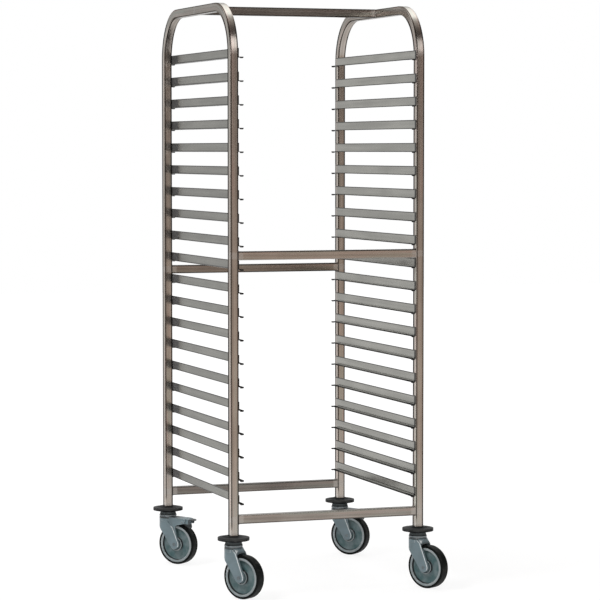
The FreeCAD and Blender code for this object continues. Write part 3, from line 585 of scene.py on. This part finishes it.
class TROLLEY_OT_runners(Operator):
    """Satin rolled steel on the folded runners"""

    bl_idname = "trolley.runners"
    bl_label = "Runners"

    def execute(self, context):
        steel = context.scene.trolley_steel
        look = Look("satin_runner", Specular_IOR_Level=0.0,
                    Specular_Tint=(steel.grazing, steel.grazing, steel.grazing, 1.0))
        grain = look.stretched_noise(look.place, RUNNER_GRAIN)
        rolled = look.stretched_noise(look.place, RUNNER_ROLL, detail=3.0)
        cloud = look.noise(RUNNER_CLOUD, detail=3.0)
        tone = look.ease(look.weighed(rolled, cloud, 0.5), *NOISE_CORE)
        base = look.mix(tone, steel.runner_deep, steel.runner_pale)
        # Painted light: the runner's inner face is brighter than its outer face
        base = look.scaled(base, look.ease(runner_depth(look), *SHEET_MIDDLE, 1.0, INSIDE_LIGHT))
        # scale is the painted shadow of the rear post, with its level rising towards the bottom runners;
        # the steel is not metallic there
        scale = self.painted_post_shadow(look)
        shadow_level = look.ease(look.z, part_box(RUNNERS[0])[1].z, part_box(RUNNERS[-1])[0].z, *POST_SHADOW_LEVELS)
        base = look.mix(scale, base, look.scaled(steel.runner_post_shadow, shadow_level))
        base = look.mix(self.on_posts(look), base, steel.runner_heat)
        # Painted shade along the runner's top edge, fold and ends
        base = look.mix(self.edges(look), base, steel.runner_edge_shade_and_dark_steel)
        # Painted shade on the flange's ends and lip, which are not metallic there
        flange_end_shade = self.flange_end_shade(look)
        base = look.mix(flange_end_shade, base, steel.runner_tab_shade_and_dark_steel)
        bare = look.minus(1.0, look.largest(flange_end_shade, scale))
        gloss = look.swing(cloud, steel.runner_roughness - 0.03, steel.runner_roughness + 0.04)
        material = look.surface(base, grain, 0.03, 0.03 * MM, Roughness=gloss, Metallic=bare)
        dress(material, *RUNNERS)
        return {"FINISHED"}

    def edges(self, look):
        """Painted shade: how far the top edge, the fold and the two ends of a runner are dark."""
        low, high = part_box(RUNNERS[0])
        pitch = high.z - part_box(RUNNERS[1])[1].z
        drop = look.math("MODULO", look.minus(high.z, look.z), pitch)
        top = look.ease(drop, *TOP_LINE)
        fold = look.times(look.ease(look.minus(high.z - low.z, drop), *FOLD_LINE),
                          look.ease(runner_depth(look), *FOLD_DEPTH))
        ends = look.ease(look.minus(high.y, look.unsigned(look.y)), *END_LINE)
        return look.times(look.largest(top, fold, ends), EDGE_COVER)

    def flange_end_shade(self, look):
        """Painted shade: how far the flange's two ends and its lip are dark."""
        depth = runner_depth(look)
        from_end = look.minus(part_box(RUNNERS[0])[1].y, look.unsigned(look.y))
        end = look.ease(from_end, TAB_LENGTH * 1.2, TAB_LENGTH)
        lip = look.ease(look.minus(LIP_REACH, depth), *LIP_LINE, 0.0, LIP_COVER)
        return look.times(look.ease(depth, *FLANGE_START), look.largest(end, lip))

    def painted_post_shadow(self, look):
        """How far the outer face of a runner, just in front of the rear post, carries the painted shadow of
        the post.
        """
        start = middle(REAR_BARS[0]).y - TUBE / 2 - POST_SHADOW_LENGTH
        return look.times(look.ease(look.y, start, start + POST_SHADOW_FADE),
                          look.ease(runner_depth(look), *SHEET_MIDDLE, POST_SHADOW_COVER, 0.0))

    def on_posts(self, look):
        """How far welding has tinted the inner face of a runner, where it lies on the rear post."""
        post = middle(REAR_BARS[0]).y
        return look.times(look.ease(look.y, post - TUBE * 0.52, post - TUBE * 0.48),
                          look.ease(runner_depth(look), *SHEET_MIDDLE, 0.0, HEAT_COVER))


# Weld metal

# Facets, rings, ripples and ends of a bead, and how deep its root is sunk
BEAD_SIDES = 6
RINGS_PER_RIPPLE = 4
RIPPLE_HEIGHT = 0.16
BLUNT_END = 8
THIN_END = 0.1
SUNK_ROOT = 0.15

# Where a rolled end begins, inwards from its wall and above the flange's underside
ROLL_START = 3 * MM
ROLL_HEIGHT = 0.5 * MM

FRONT, REAR = Vector((0, -1, 0)), Vector((0, 1, 0))
DOWN, UP = Vector((0, 0, -1)), Vector((0, 0, 1))


def add_bead(mesh, start, end, up, out, leg, ripple):
    """Weld metal from start to end in the corner between two faces, whose directions are up and out."""
    run = end - start
    count = max(BEAD_SIDES, round(run.length / ripple * RINGS_PER_RIPPLE))
    rings = []
    for i in range(count + 1):
        along = i / count
        swell = 1 + RIPPLE_HEIGHT * abs(math.sin(math.pi * along * run.length / ripple))
        taper = max(THIN_END, 1 - abs(2 * along - 1) ** BLUNT_END)
        root = start + run * along
        ring = [mesh.verts.new(root - (up + out) * leg * SUNK_ROOT)]
        for side in range(BEAD_SIDES):
            turn = math.pi / 2 * side / (BEAD_SIDES - 1)
            reach = leg * swell * taper
            ring.append(mesh.verts.new(root + (up * math.cos(turn) + out * math.sin(turn)) * reach))
        rings.append(ring)
    for ring, following in zip(rings, rings[1:]):
        for i in range(len(ring)):
            j = (i + 1) % len(ring)
            mesh.faces.new((ring[i], ring[j], following[j], following[i]))
    mesh.faces.new(rings[0])
    mesh.faces.new(reversed(rings[-1]))


def new_piece(name, mesh, material, body):
    """A finished piece that rides on a body and wears the given material."""
    bmesh.ops.recalc_face_normals(mesh, faces=mesh.faces)
    data = bpy.data.meshes.new(name)
    mesh.to_mesh(data)
    mesh.free()
    data.shade_smooth()
    data.materials.append(material)
    piece = bpy.data.objects.new(name, data)
    bpy.context.scene.collection.objects.link(piece)
    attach(piece, body)


def walls(low, high):
    """The left and the right end of a box, each with the direction inwards."""
    return (low.x, Vector((1, 0, 0))), (high.x, Vector((-1, 0, 0)))


def weld_material(welds):
    """Cleaned weld metal, straw-tinted in places."""
    look = Look("weld_metal", Metallic=1.0)
    tint = look.noise(220, detail=3.0)
    base = look.mix(look.ease(tint, 0.45, 0.7), welds.bead, welds.bead_heat)
    grain = look.noise(1500)
    return look.surface(base, grain, 0.2, 0.05 * MM, Roughness=look.swing(tint, 0.28, 0.42))


def roll_material(steel):
    """Unpolished steel, dull and nearly black."""
    look = Look("rolled_end", Roughness=0.6, Specular_IOR_Level=0.1)
    grain = look.noise(400, detail=3.0)
    base = look.mix(look.swing(grain, 0.0, 1.0), steel.runner_tab_shade_and_dark_steel, shaded(steel.runner_edge_shade_and_dark_steel, 0.6))
    return look.surface(base, grain, 0.2, 0.05 * MM)


class TROLLEY_OT_welds(Operator):
    """Welds at the crossbars' ends, tack welds above the runners and rolled ends under their flanges"""

    bl_idname = "trolley.welds"
    bl_label = "Welds and rolled ends"

    def execute(self, context):
        welds = context.scene.trolley_welds
        material = weld_material(welds)
        self.crossbar_welds(welds, material)
        self.runner_tacks(welds, material)
        self.rolled_ends(welds, roll_material(context.scene.trolley_steel))
        return {"FINISHED"}

    def crossbar_welds(self, welds, material):
        """Beads above and below each bar on its posts, and before and behind the top bar on its rails."""
        mesh = bmesh.new()
        for name in (TOP_BAR, *FRONT_BARS, *REAR_BARS):
            low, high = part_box(name)
            for wall, inwards in walls(low, high):
                if name == TOP_BAR:
                    seams = [((wall, y, low.z), (wall, y, high.z), out)
                             for y, out in ((low.y, FRONT), (high.y, REAR))]
                else:
                    seams = [((wall, low.y, z), (wall, high.y, z), out)
                             for z, out in ((low.z, DOWN), (high.z, UP))]
                for start, end, out in seams:
                    add_bead(mesh, Vector(start), Vector(end), inwards, out, welds.bead_leg, welds.ripple)
        new_piece("crossbar_welds", mesh, material, "frame")

    def runner_tacks(self, welds, material):
        """A short bead on each post above each runner."""
        mesh = bmesh.new()
        post_y = middle(FRONT_BARS[0]).y
        half = Vector((0, welds.tack_length / 2, 0))
        for name in RUNNERS:
            low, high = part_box(name)
            for wall, inwards in walls(low, high):
                for y in (post_y, -post_y):
                    centre = Vector((wall, y, high.z))
                    add_bead(mesh, centre - half, centre + half, inwards, UP, welds.tack_leg, welds.ripple)
        new_piece("runner_tacks", mesh, material, "frame")

    def rolled_ends(self, welds, material):
        """A rolled bead under the two ends of each flange, so that no sharp edge meets a tray or a hand."""
        mesh = bmesh.new()
        for name in RUNNERS:
            low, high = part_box(name)
            for wall, inwards in walls(low, high):
                for y, out in ((low.y, FRONT), (high.y, REAR)):
                    start = Vector((wall + inwards.x * ROLL_START, y, low.z + ROLL_HEIGHT))
                    end = Vector((wall + inwards.x * LIP_REACH, y, low.z + ROLL_HEIGHT))
                    add_bead(mesh, start, end, DOWN, out, welds.rolled_leg, welds.ripple)
        new_piece("rolled_ends", mesh, material, "frame")


# Plastic and rubber

PLASTIC_IOR = 1.5
FORK_ROUGHNESS = 0.36
PLUG_ROUGHNESS = 0.5
FORK_EDGE = 1.5 * MM
SMALL_EDGE = 1.0 * MM


def axle_radius(look, corner):
    """Distance from a wheel's axle."""
    joint = JOINTS[f"{corner}_roll"]
    offset = look.vector("SUBTRACT", look.place, joint["pos_m"])
    along = look.scaled(joint["axis"], look.dot(offset, joint["axis"]))
    return look.length_of(look.vector("SUBTRACT", offset, along))


def caster_axes(corner):
    """Directions out and across of a caster, and the place of its swivel on top of the fork."""
    across = Vector(JOINTS[f"{corner}_roll"]["axis"])
    return Vector((across.y, -across.x, 0)), across, Vector(JOINTS[f"{corner}_swivel"]["pos_m"])


def moulded(name, body, wear_and_glint, roughness, edge, marks=None):
    """Moulded plastic: fine grain, cloudy gloss, edges pale with rubbed wear and a painted highlight, and a
    piece's own marks.
    """
    look = Look(name, IOR=PLASTIC_IOR)
    cloud = look.noise(30, detail=3.0)
    speck = look.noise(900)
    # rub: pale edges, partly rubbed wear and partly painted highlight
    rub = look.times(look.edges_worn_and_lit(edge), look.ease(cloud, 0.25, 0.6, 0.5, 1.0))
    base = look.mix(look.ease(cloud, *NOISE_CORE), shaded(body, 0.86), body)
    base = look.mix(rub, base, wear_and_glint)
    if marks:
        base = marks(look, base)
    gloss = look.swing(cloud, roughness - 0.05, roughness + 0.07)
    return look.surface(base, speck, 0.12, 0.08 * MM, Roughness=gloss)


# Marks on a fork and a pedal, painted highlight and painted shade among them, from where each is 0 to where
# it is 1; heights count from the fork's top
CROWN_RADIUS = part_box("swivel_heads")[1].x - middle("front_right_bumper").x
CROWN_FADE = 1 * MM
GROOVE = ((-3.8 * MM, -3.0 * MM), (-0.2 * MM, -0.8 * MM))
GLINT_TOP = -3 * MM
BRAKED_GLINT_TOP = -24 * MM
GLINT_FADE = 4 * MM
NOSE_UNDER = ((-32 * MM, -28 * MM), (-9 * MM, -11 * MM))
NOSE_FRONT = (26.5 * MM, 29.5 * MM)
NOSE_SIDES = (21.6 * MM, 20.8 * MM)
PEDAL_TIP = (17 * MM, 13 * MM)
SHOE_TOP = (-17 * MM, -20 * MM)
PEDAL_COVER = 0.9

# Facing of a fork's faces that carry the painted highlight: outwards, to the sides and not down
GLINT_OUT, GLINT_ASIDE, GLINT_UPWARDS = (0.2, 0.45), (0.3, 0.55), (-0.45, -0.25)


class TROLLEY_OT_forks(Operator):
    """Moulded plastic on the forks and brake pedals"""

    bl_idname = "trolley.forks"
    bl_label = "Forks and pedals"

    def execute(self, context):
        plastic = context.scene.trolley_plastic
        pieces = [("fork", f"{corner}_fork", corner, self.fork_marks) for corner in CORNERS]
        pieces += [("pedal", f"{corner}_brake_pedal", corner, self.pedal_marks) for corner in BRAKED]
        for kind, node, corner, marks in pieces:
            dress(moulded(f"{kind}_plastic_{corner}", plastic.fork, plastic.fork_wear_and_highlight, FORK_ROUGHNESS,
                          FORK_EDGE, lambda look, base: marks(look, base, plastic, corner)), node)
        return {"FINISHED"}

    def fork_marks(self, look, base, plastic, corner):
        """Painted highlight along the front edges of the legs, painted shade in a groove under the cap, and
        painted shade on the nose's underside.
        """
        out, across, top = caster_axes(corner)
        place = look.vector("SUBTRACT", look.place, top)
        x, y, height = look.axes(place)
        facing = look.facing()
        _, _, upwards = look.axes(facing)
        glint_top = BRAKED_GLINT_TOP if corner in BRAKED else GLINT_TOP
        # Painted highlight along the legs' front edges
        glint = look.times(
            look.ease(look.dot(facing, out), *GLINT_OUT),
            look.ease(look.unsigned(look.dot(facing, across)), *GLINT_ASIDE),
            look.ease(height, glint_top, glint_top - GLINT_FADE),
            look.ease(upwards, *GLINT_UPWARDS))
        base = look.mix(glint, base, plastic.fork_glint)
        radius = look.length_of(look.join(x, y, 0.0))
        # Painted shade in the groove under the cap
        groove = look.times(look.between(height, *GROOVE),
                            look.ease(radius, CROWN_RADIUS + CROWN_FADE, CROWN_RADIUS))
        base = look.mix(groove, base, plastic.dark_and_shade)
        if corner in BRAKED:
            return base
        # Painted shade under the nose and on the inner legs' front faces
        under = look.times(look.between(height, *NOSE_UNDER),
                           look.ease(look.dot(place, out), *NOSE_FRONT),
                           look.ease(look.unsigned(look.dot(place, across)), *NOSE_SIDES))
        return look.mix(under, base, plastic.dark_and_shade)

    def pedal_marks(self, look, base, plastic, corner):
        """Darker tip of a brake pedal, and painted shade on its shoe."""
        out, _, top = caster_axes(corner)
        place = look.vector("SUBTRACT", look.place, top)
        _, _, height = look.axes(place)
        pedal = frame["nodes"][f"{corner}_brake_pedal"].data
        reach = max(out.dot(vertex.co - top) for vertex in pedal.vertices)
        from_tip = look.minus(reach, look.dot(place, out))
        # Painted shade on the shoe below the plate, and a darker tip
        dark = look.largest(look.ease(from_tip, *PEDAL_TIP), look.ease(height, *SHOE_TOP))
        return look.mix(look.times(dark, PEDAL_COVER), base, plastic.dark_and_shade)


# Radii on a wheel, and how softly the pale rings begin and end
RIM_RADIUS = 48.5 * MM
RIM_FADE = 0.8 * MM
COLLAR_RADII = (18.0 * MM, 20.75 * MM)
COLLAR_FADE = 0.4 * MM
TREAD_START = (61.0 * MM, 62.3 * MM)

# Facing of the walls between disc and rim, and how dark their painted shade is
WALL_FACING = (0.85, 0.5)
WALL_COVER = 0.95


class TROLLEY_OT_wheels(Operator):
    """Wheel cores with a pale rim, and tread rubber"""

    bl_idname = "trolley.wheels"
    bl_label = "Wheels"

    def execute(self, context):
        plastic = context.scene.trolley_plastic
        for corner in CORNERS:
            dress(self.core(plastic, corner), f"{corner}_wheel_core")
            dress(self.tread(plastic, corner), f"{corner}_tyre")
        return {"FINISHED"}

    def core(self, plastic, corner):
        """Blue-grey plastic, grained on the disc, smooth and pale on the rim, with painted shade on the
        walls between.
        """
        look = Look(f"wheel_plastic_{corner}", IOR=PLASTIC_IOR)
        radius = axle_radius(look, corner)
        cloud = look.noise(45, detail=3.0)
        speck = look.noise(700)
        inner, outer = COLLAR_RADII
        collar = look.between(radius, (inner - COLLAR_FADE, inner), (outer + COLLAR_FADE, outer))
        pale = look.largest(look.ease(radius, RIM_RADIUS - RIM_FADE, RIM_RADIUS), collar)
        tone = look.swing(cloud, 0.0, 0.35)
        base = look.mix(pale, look.mix(tone, plastic.core, plastic.rim),
                        look.mix(tone, plastic.rim, plastic.core))
        # Painted shade on the walls between disc and rim
        flat = look.unsigned(look.dot(look.facing(), JOINTS[f"{corner}_roll"]["axis"]))
        base = look.mix(look.ease(flat, *WALL_FACING, 0.0, WALL_COVER), base, plastic.dark_and_shade)
        gloss = look.minus(look.swing(cloud, 0.42, 0.55), look.times(pale, 0.10))
        return look.surface(base, speck, 0.18, 0.1 * MM, Roughness=gloss)

    def tread(self, plastic, corner):
        """Black rubber with dust rubbed into the running surface."""
        look = Look(f"tread_rubber_{corner}", IOR=PLASTIC_IOR, Specular_IOR_Level=0.12)
        cloud = look.noise(60, detail=4.0)
        speck = look.noise(1100)
        running = look.ease(axle_radius(look, corner), *TREAD_START)
        dust = look.times(running, look.ease(cloud, 0.45, 0.75, 0.0, 0.6))
        base = look.mix(dust, plastic.tyre, plastic.tyre_dust)
        return look.surface(base, speck, 0.25, 0.1 * MM, Roughness=look.swing(cloud, 0.48, 0.66))


# Marks on a bumper, from where each is 0 to where it is 1; heights count from the bumper's foot
RIM_HIGHLIGHT = ((15 * MM, 17 * MM), (25.2 * MM, 23.5 * MM))
NECK_TOP = (10 * MM, 8 * MM)
NECK_FOOT = (1 * MM, 5 * MM)
FOOT_LEVEL = 0.25
SCUFFED_RIM = 5 * MM


class TROLLEY_OT_bumpers(Operator):
    """Black rubber on the bumper discs, rubbed and scuffed on the rim"""

    bl_idname = "trolley.bumpers"
    bl_label = "Bumpers"

    def execute(self, context):
        plastic = context.scene.trolley_plastic
        for corner in CORNERS:
            dress(self.rubber(plastic, corner), f"{corner}_bumper")
        return {"FINISHED"}

    def rubber(self, plastic, corner):
        """Black rubber, dull on top, scuffed grey round the rim with a painted highlight band on it, and
        grey on the neck under the disc.
        """
        look = Look(f"bumper_rubber_{corner}", IOR=PLASTIC_IOR, Specular_IOR_Level=0.03)
        low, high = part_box(f"{corner}_bumper")
        edge = (high.x - low.x) / 2
        foot = Vector((low.x + edge, (low.y + high.y) / 2, low.z))
        x, y, height = look.axes(look.vector("SUBTRACT", look.place, foot))
        radius = look.length_of(look.join(x, y, 0.0))
        cloud = look.noise(70, detail=4.0)
        speck = look.noise(1000)
        scuff = look.times(look.ease(radius, edge - SCUFFED_RIM, edge), look.ease(cloud, 0.5, 0.72))
        base = look.mix(scuff, plastic.bumper, plastic.bumper_scuff)
        # Painted highlight in a band round the rim
        band = look.times(look.between(height, *RIM_HIGHLIGHT), look.ease(cloud, 0.3, 0.6, 0.6, 1.0))
        base = look.mix(band, base, plastic.bumper_highlight_band)
        neck = look.times(look.ease(height, *NECK_TOP),
                          look.ease(height, *NECK_FOOT, FOOT_LEVEL, 1.0))
        base = look.mix(neck, base, plastic.neck)
        return look.surface(base, speck, 0.2, 0.1 * MM, Roughness=look.swing(cloud, 0.40, 0.55))


class TROLLEY_OT_swivels(Operator):
    """Caps, plugs, bearings, stems, axles and pins of the casters"""

    bl_idname = "trolley.swivels"
    bl_label = "Swivels and axles"

    def execute(self, context):
        plastic = context.scene.trolley_plastic
        # Caps and plugs get pale edges too, partly rubbed wear and partly painted highlight
        dress(moulded("cap_plastic", plastic.head, plastic.fork_wear_and_highlight, FORK_ROUGHNESS, SMALL_EDGE),
              "swivel_heads")
        dress(moulded("plug_plastic", plastic.plug, plastic.bumper_scuff, PLUG_ROUGHNESS, SMALL_EDGE),
              "expander_plugs")
        steel = context.scene.trolley_steel
        bright = self.zinc("zinc_plating", steel.zinc_pale, steel.zinc_deep, 0.32)
        dress(bright, "swivel_bearings", "stem_bolts")
        dull = self.zinc("dull_zinc", steel.dull_pale, steel.dull_deep, 0.48)
        for corner in CORNERS:
            dress(dull, f"{corner}_axle", f"{corner}_axle_sleeve")
        dress(dull, *[f"{corner}_brake_pin" for corner in BRAKED])
        return {"FINISHED"}

    def zinc(self, name, pale, deep, roughness):
        """Zinc plating with a faint grain."""
        look = Look(name, Metallic=1.0)
        grain = look.noise(320, detail=3.0)
        base = look.mix(look.ease(grain, *NOISE_CORE), deep, pale)
        gloss = look.swing(grain, roughness - 0.06, roughness + 0.06)
        return look.surface(base, grain, 0.1, 0.04 * MM, Roughness=gloss)


# Studio

WHITE = (1, 1, 1, 1)

# The floor's shade and roughness, and how it melts into the white with the distance from the trolley
FLOOR_SHADE = (0.9, 0.9, 0.9, 1)
FLOOR_ROUGHNESS = 0.9
FLOOR_GLOW = 1.12
FLOOR_FADE = (0.6, 2.4)
FLOOR_WHITE = (0.76, 1.0)

# Heights over which the shades of the wall and the canopy change
WALL_FADE = (0.2, 1.8)
CANOPY_FADE = (5.8, 6.2)

# Place, target and size of each lamp, and whether the steel mirrors it
LAMPS = {
    "key": ((-3.0, -0.7, 3.3), (0, 0, 0.7), (1.8, 1.4), False),
    "edge": ((-1.0, -4.4, 2.35), (0, 0, 0.5), (1.0, 1.2), True),
    "front": ((1.4, -4.4, 3.55), (0, 0, 1.4), (1.5, 2.2), True),
    "top": ((0.2, 1.95, 4.2), (0.2, 1.95, 0), (4.4, 3.7), True),
}


def shows_white(tree):
    """1 for rays that see the background straight, in a mirror or through glass, and 0 for the rest."""
    path = add_node(tree, "ShaderNodeLightPath").node
    seen = path.outputs["Is Camera Ray"]
    for name in ("Is Glossy Ray", "Is Transmission Ray"):
        seen = add_node(tree, "ShaderNodeMath", {0: seen, 1: path.outputs[name]}, operation="MAXIMUM")
    return seen


def sheet(name, corners, material):
    """A flat piece of the studio, from its corners."""
    data = bpy.data.meshes.new(name)
    data.from_pydata(corners, [], [range(len(corners))])
    data.materials.append(material)
    made = bpy.data.objects.new(name, data)
    bpy.context.scene.collection.objects.link(made)
    return made


def card(name, corners, low, high, heights):
    """A card outside the picture for the steel to mirror, which goes from one shade to another upwards."""
    look = Look(name, Base_Color=(0, 0, 0, 1), Roughness=1.0, Specular_IOR_Level=0.0,
                Emission_Strength=1.0)
    shade = look.mix(look.ease(look.z, *heights), low, high)
    made = sheet(name, corners, look.feed(Emission_Color=shade))
    made.visible_camera = False


class TROLLEY_OT_stage(Operator):
    """Pale floor, white surroundings, cards, soft lamps and the camera"""

    bl_idname = "trolley.stage"
    bl_label = "Studio"

    def execute(self, context):
        scene = context.scene
        studio = scene.trolley_studio
        scene.view_settings.view_transform = "Standard"
        self.surroundings(scene, studio)
        self.floor(studio)
        self.cards(studio)
        for name, setup in LAMPS.items():
            self.lamp(scene, f"{name}_lamp", getattr(studio, f"{name}_power"), *setup)
        self.camera(scene, studio)
        return {"FINISHED"}

    def surroundings(self, scene, studio):
        """Even light all round, which shows as plain white."""
        world = bpy.data.worlds.new("white_studio")
        world.use_nodes = True
        scene.world = world
        tree = world.node_tree
        even = tree.nodes["Background"]
        even.inputs["Strength"].default_value = studio.fill
        even.inputs["Color"].default_value = WHITE
        white = add_node(tree, "ShaderNodeBackground", {"Color": WHITE})
        choice = add_node(tree, "ShaderNodeMixShader", {0: shows_white(tree), 1: even.outputs[0], 2: white})
        tree.links.new(choice, tree.nodes["World Output"].inputs["Surface"])

    def floor(self, studio):
        """A pale floor that melts into the white, with the trolley's soft shadow on it."""
        look = Look("pale_floor", Base_Color=FLOOR_SHADE, Roughness=FLOOR_ROUGHNESS)
        far = look.ease(look.length_of(look.place), *FLOOR_FADE, *FLOOR_WHITE)
        amount = look.times(shows_white(look.tree), far)
        white = look.node("ShaderNodeEmission", {"Strength": FLOOR_GLOW})
        glow = look.node("ShaderNodeMixShader", {0: amount, 1: look.shader.outputs[0], 2: white})
        look.tree.links.new(glow, look.tree.nodes["Material Output"].inputs["Surface"])
        reach, front = studio.floor_reach, -studio.floor_front
        corners = [(-reach, front, 0), (reach, front, 0), (reach, reach, 0), (-reach, reach, 0)]
        sheet("studio_floor", corners, look.material)

    def cards(self, studio):
        """A wall behind the camera, a canopy over the front, and a dark flag on each side."""
        left, right, back, foot, top = -7.0, 9.0, -8.6, -1.5, 5.0
        card("front_wall", [(left, back, foot), (right, back, foot), (right, back, top), (left, back, top)],
             studio.wall_low, studio.wall_high, WALL_FADE)
        edge, ridge = -0.2, 6.2
        card("front_canopy",
             [(left, back, top), (right, back, top), (right, edge, ridge), (left, edge, ridge)],
             studio.canopy, studio.canopy_back, CANOPY_FADE)
        start, end, tall = -1.5, 1.5, 3.4
        for name, x in (("left_flag", -3.0), ("right_flag", 3.2)):
            card(name, [(x, start, 0), (x, end, 0), (x, end, tall), (x, start, tall)],
                 studio.canopy, studio.canopy, (0, tall))

    def lamp(self, scene, name, watts, place, target, size, mirrored):
        """A soft rectangular lamp aimed at a point, which the steel may mirror."""
        light = bpy.data.lights.new(name, "AREA")
        light.shape = "RECTANGLE"
        light.size, light.size_y = size
        light.energy = watts
        lamp = bpy.data.objects.new(name, light)
        lamp.location = place
        lamp.rotation_euler = (Vector(target) - Vector(place)).to_track_quat("-Z", "Y").to_euler()
        lamp.visible_glossy = mirrored
        scene.collection.objects.link(lamp)

    def camera(self, scene, studio):
        """The camera, placed as in the photo."""
        data = bpy.data.cameras.new("photo_camera")
        data.lens = studio.camera_lens
        camera = bpy.data.objects.new("photo_camera", data)
        camera.location = studio.camera_place
        camera.rotation_euler = Vector(studio.camera_aim).to_track_quat("-Z", "Y").to_euler()
        scene.collection.objects.link(camera)
        scene.camera = camera


# Add-on

OPERATORS = (
    TROLLEY_OT_tubes,
    TROLLEY_OT_runners,
    TROLLEY_OT_welds,
    TROLLEY_OT_forks,
    TROLLEY_OT_wheels,
    TROLLEY_OT_bumpers,
    TROLLEY_OT_swivels,
    TROLLEY_OT_stage,
)


class TROLLEY_PT_sidebar(Panel):
    """Steps that dress the trolley, in order"""

    bl_label = "Tray trolley"
    bl_idname = "TROLLEY_PT_sidebar"
    bl_space_type = "VIEW_3D"
    bl_region_type = "UI"
    bl_category = "Trolley"

    def draw(self, context):
        for operator in OPERATORS:
            self.layout.operator(operator.bl_idname)


SETTINGS = {
    "trolley_steel": SteelSettings,
    "trolley_plastic": PlasticSettings,
    "trolley_welds": WeldSettings,
    "trolley_studio": StudioSettings,
}


def register():
    for made in (*SETTINGS.values(), *OPERATORS, TROLLEY_PT_sidebar):
        bpy.utils.register_class(made)
    for name, group in SETTINGS.items():
        setattr(bpy.types.Scene, name, PointerProperty(type=group))


def unregister():
    for name in SETTINGS:
        delattr(bpy.types.Scene, name)
    for made in (TROLLEY_PT_sidebar, *reversed(OPERATORS), *reversed(SETTINGS.values())):
        bpy.utils.unregister_class(made)


def main():
    register()
    bpy.ops.trolley.tubes()
    bpy.ops.trolley.runners()
    bpy.ops.trolley.welds()
    bpy.ops.trolley.forks()
    bpy.ops.trolley.wheels()
    bpy.ops.trolley.bumpers()
    bpy.ops.trolley.swivels()
    bpy.ops.trolley.stage()


if __name__ == "__main__":
    main()
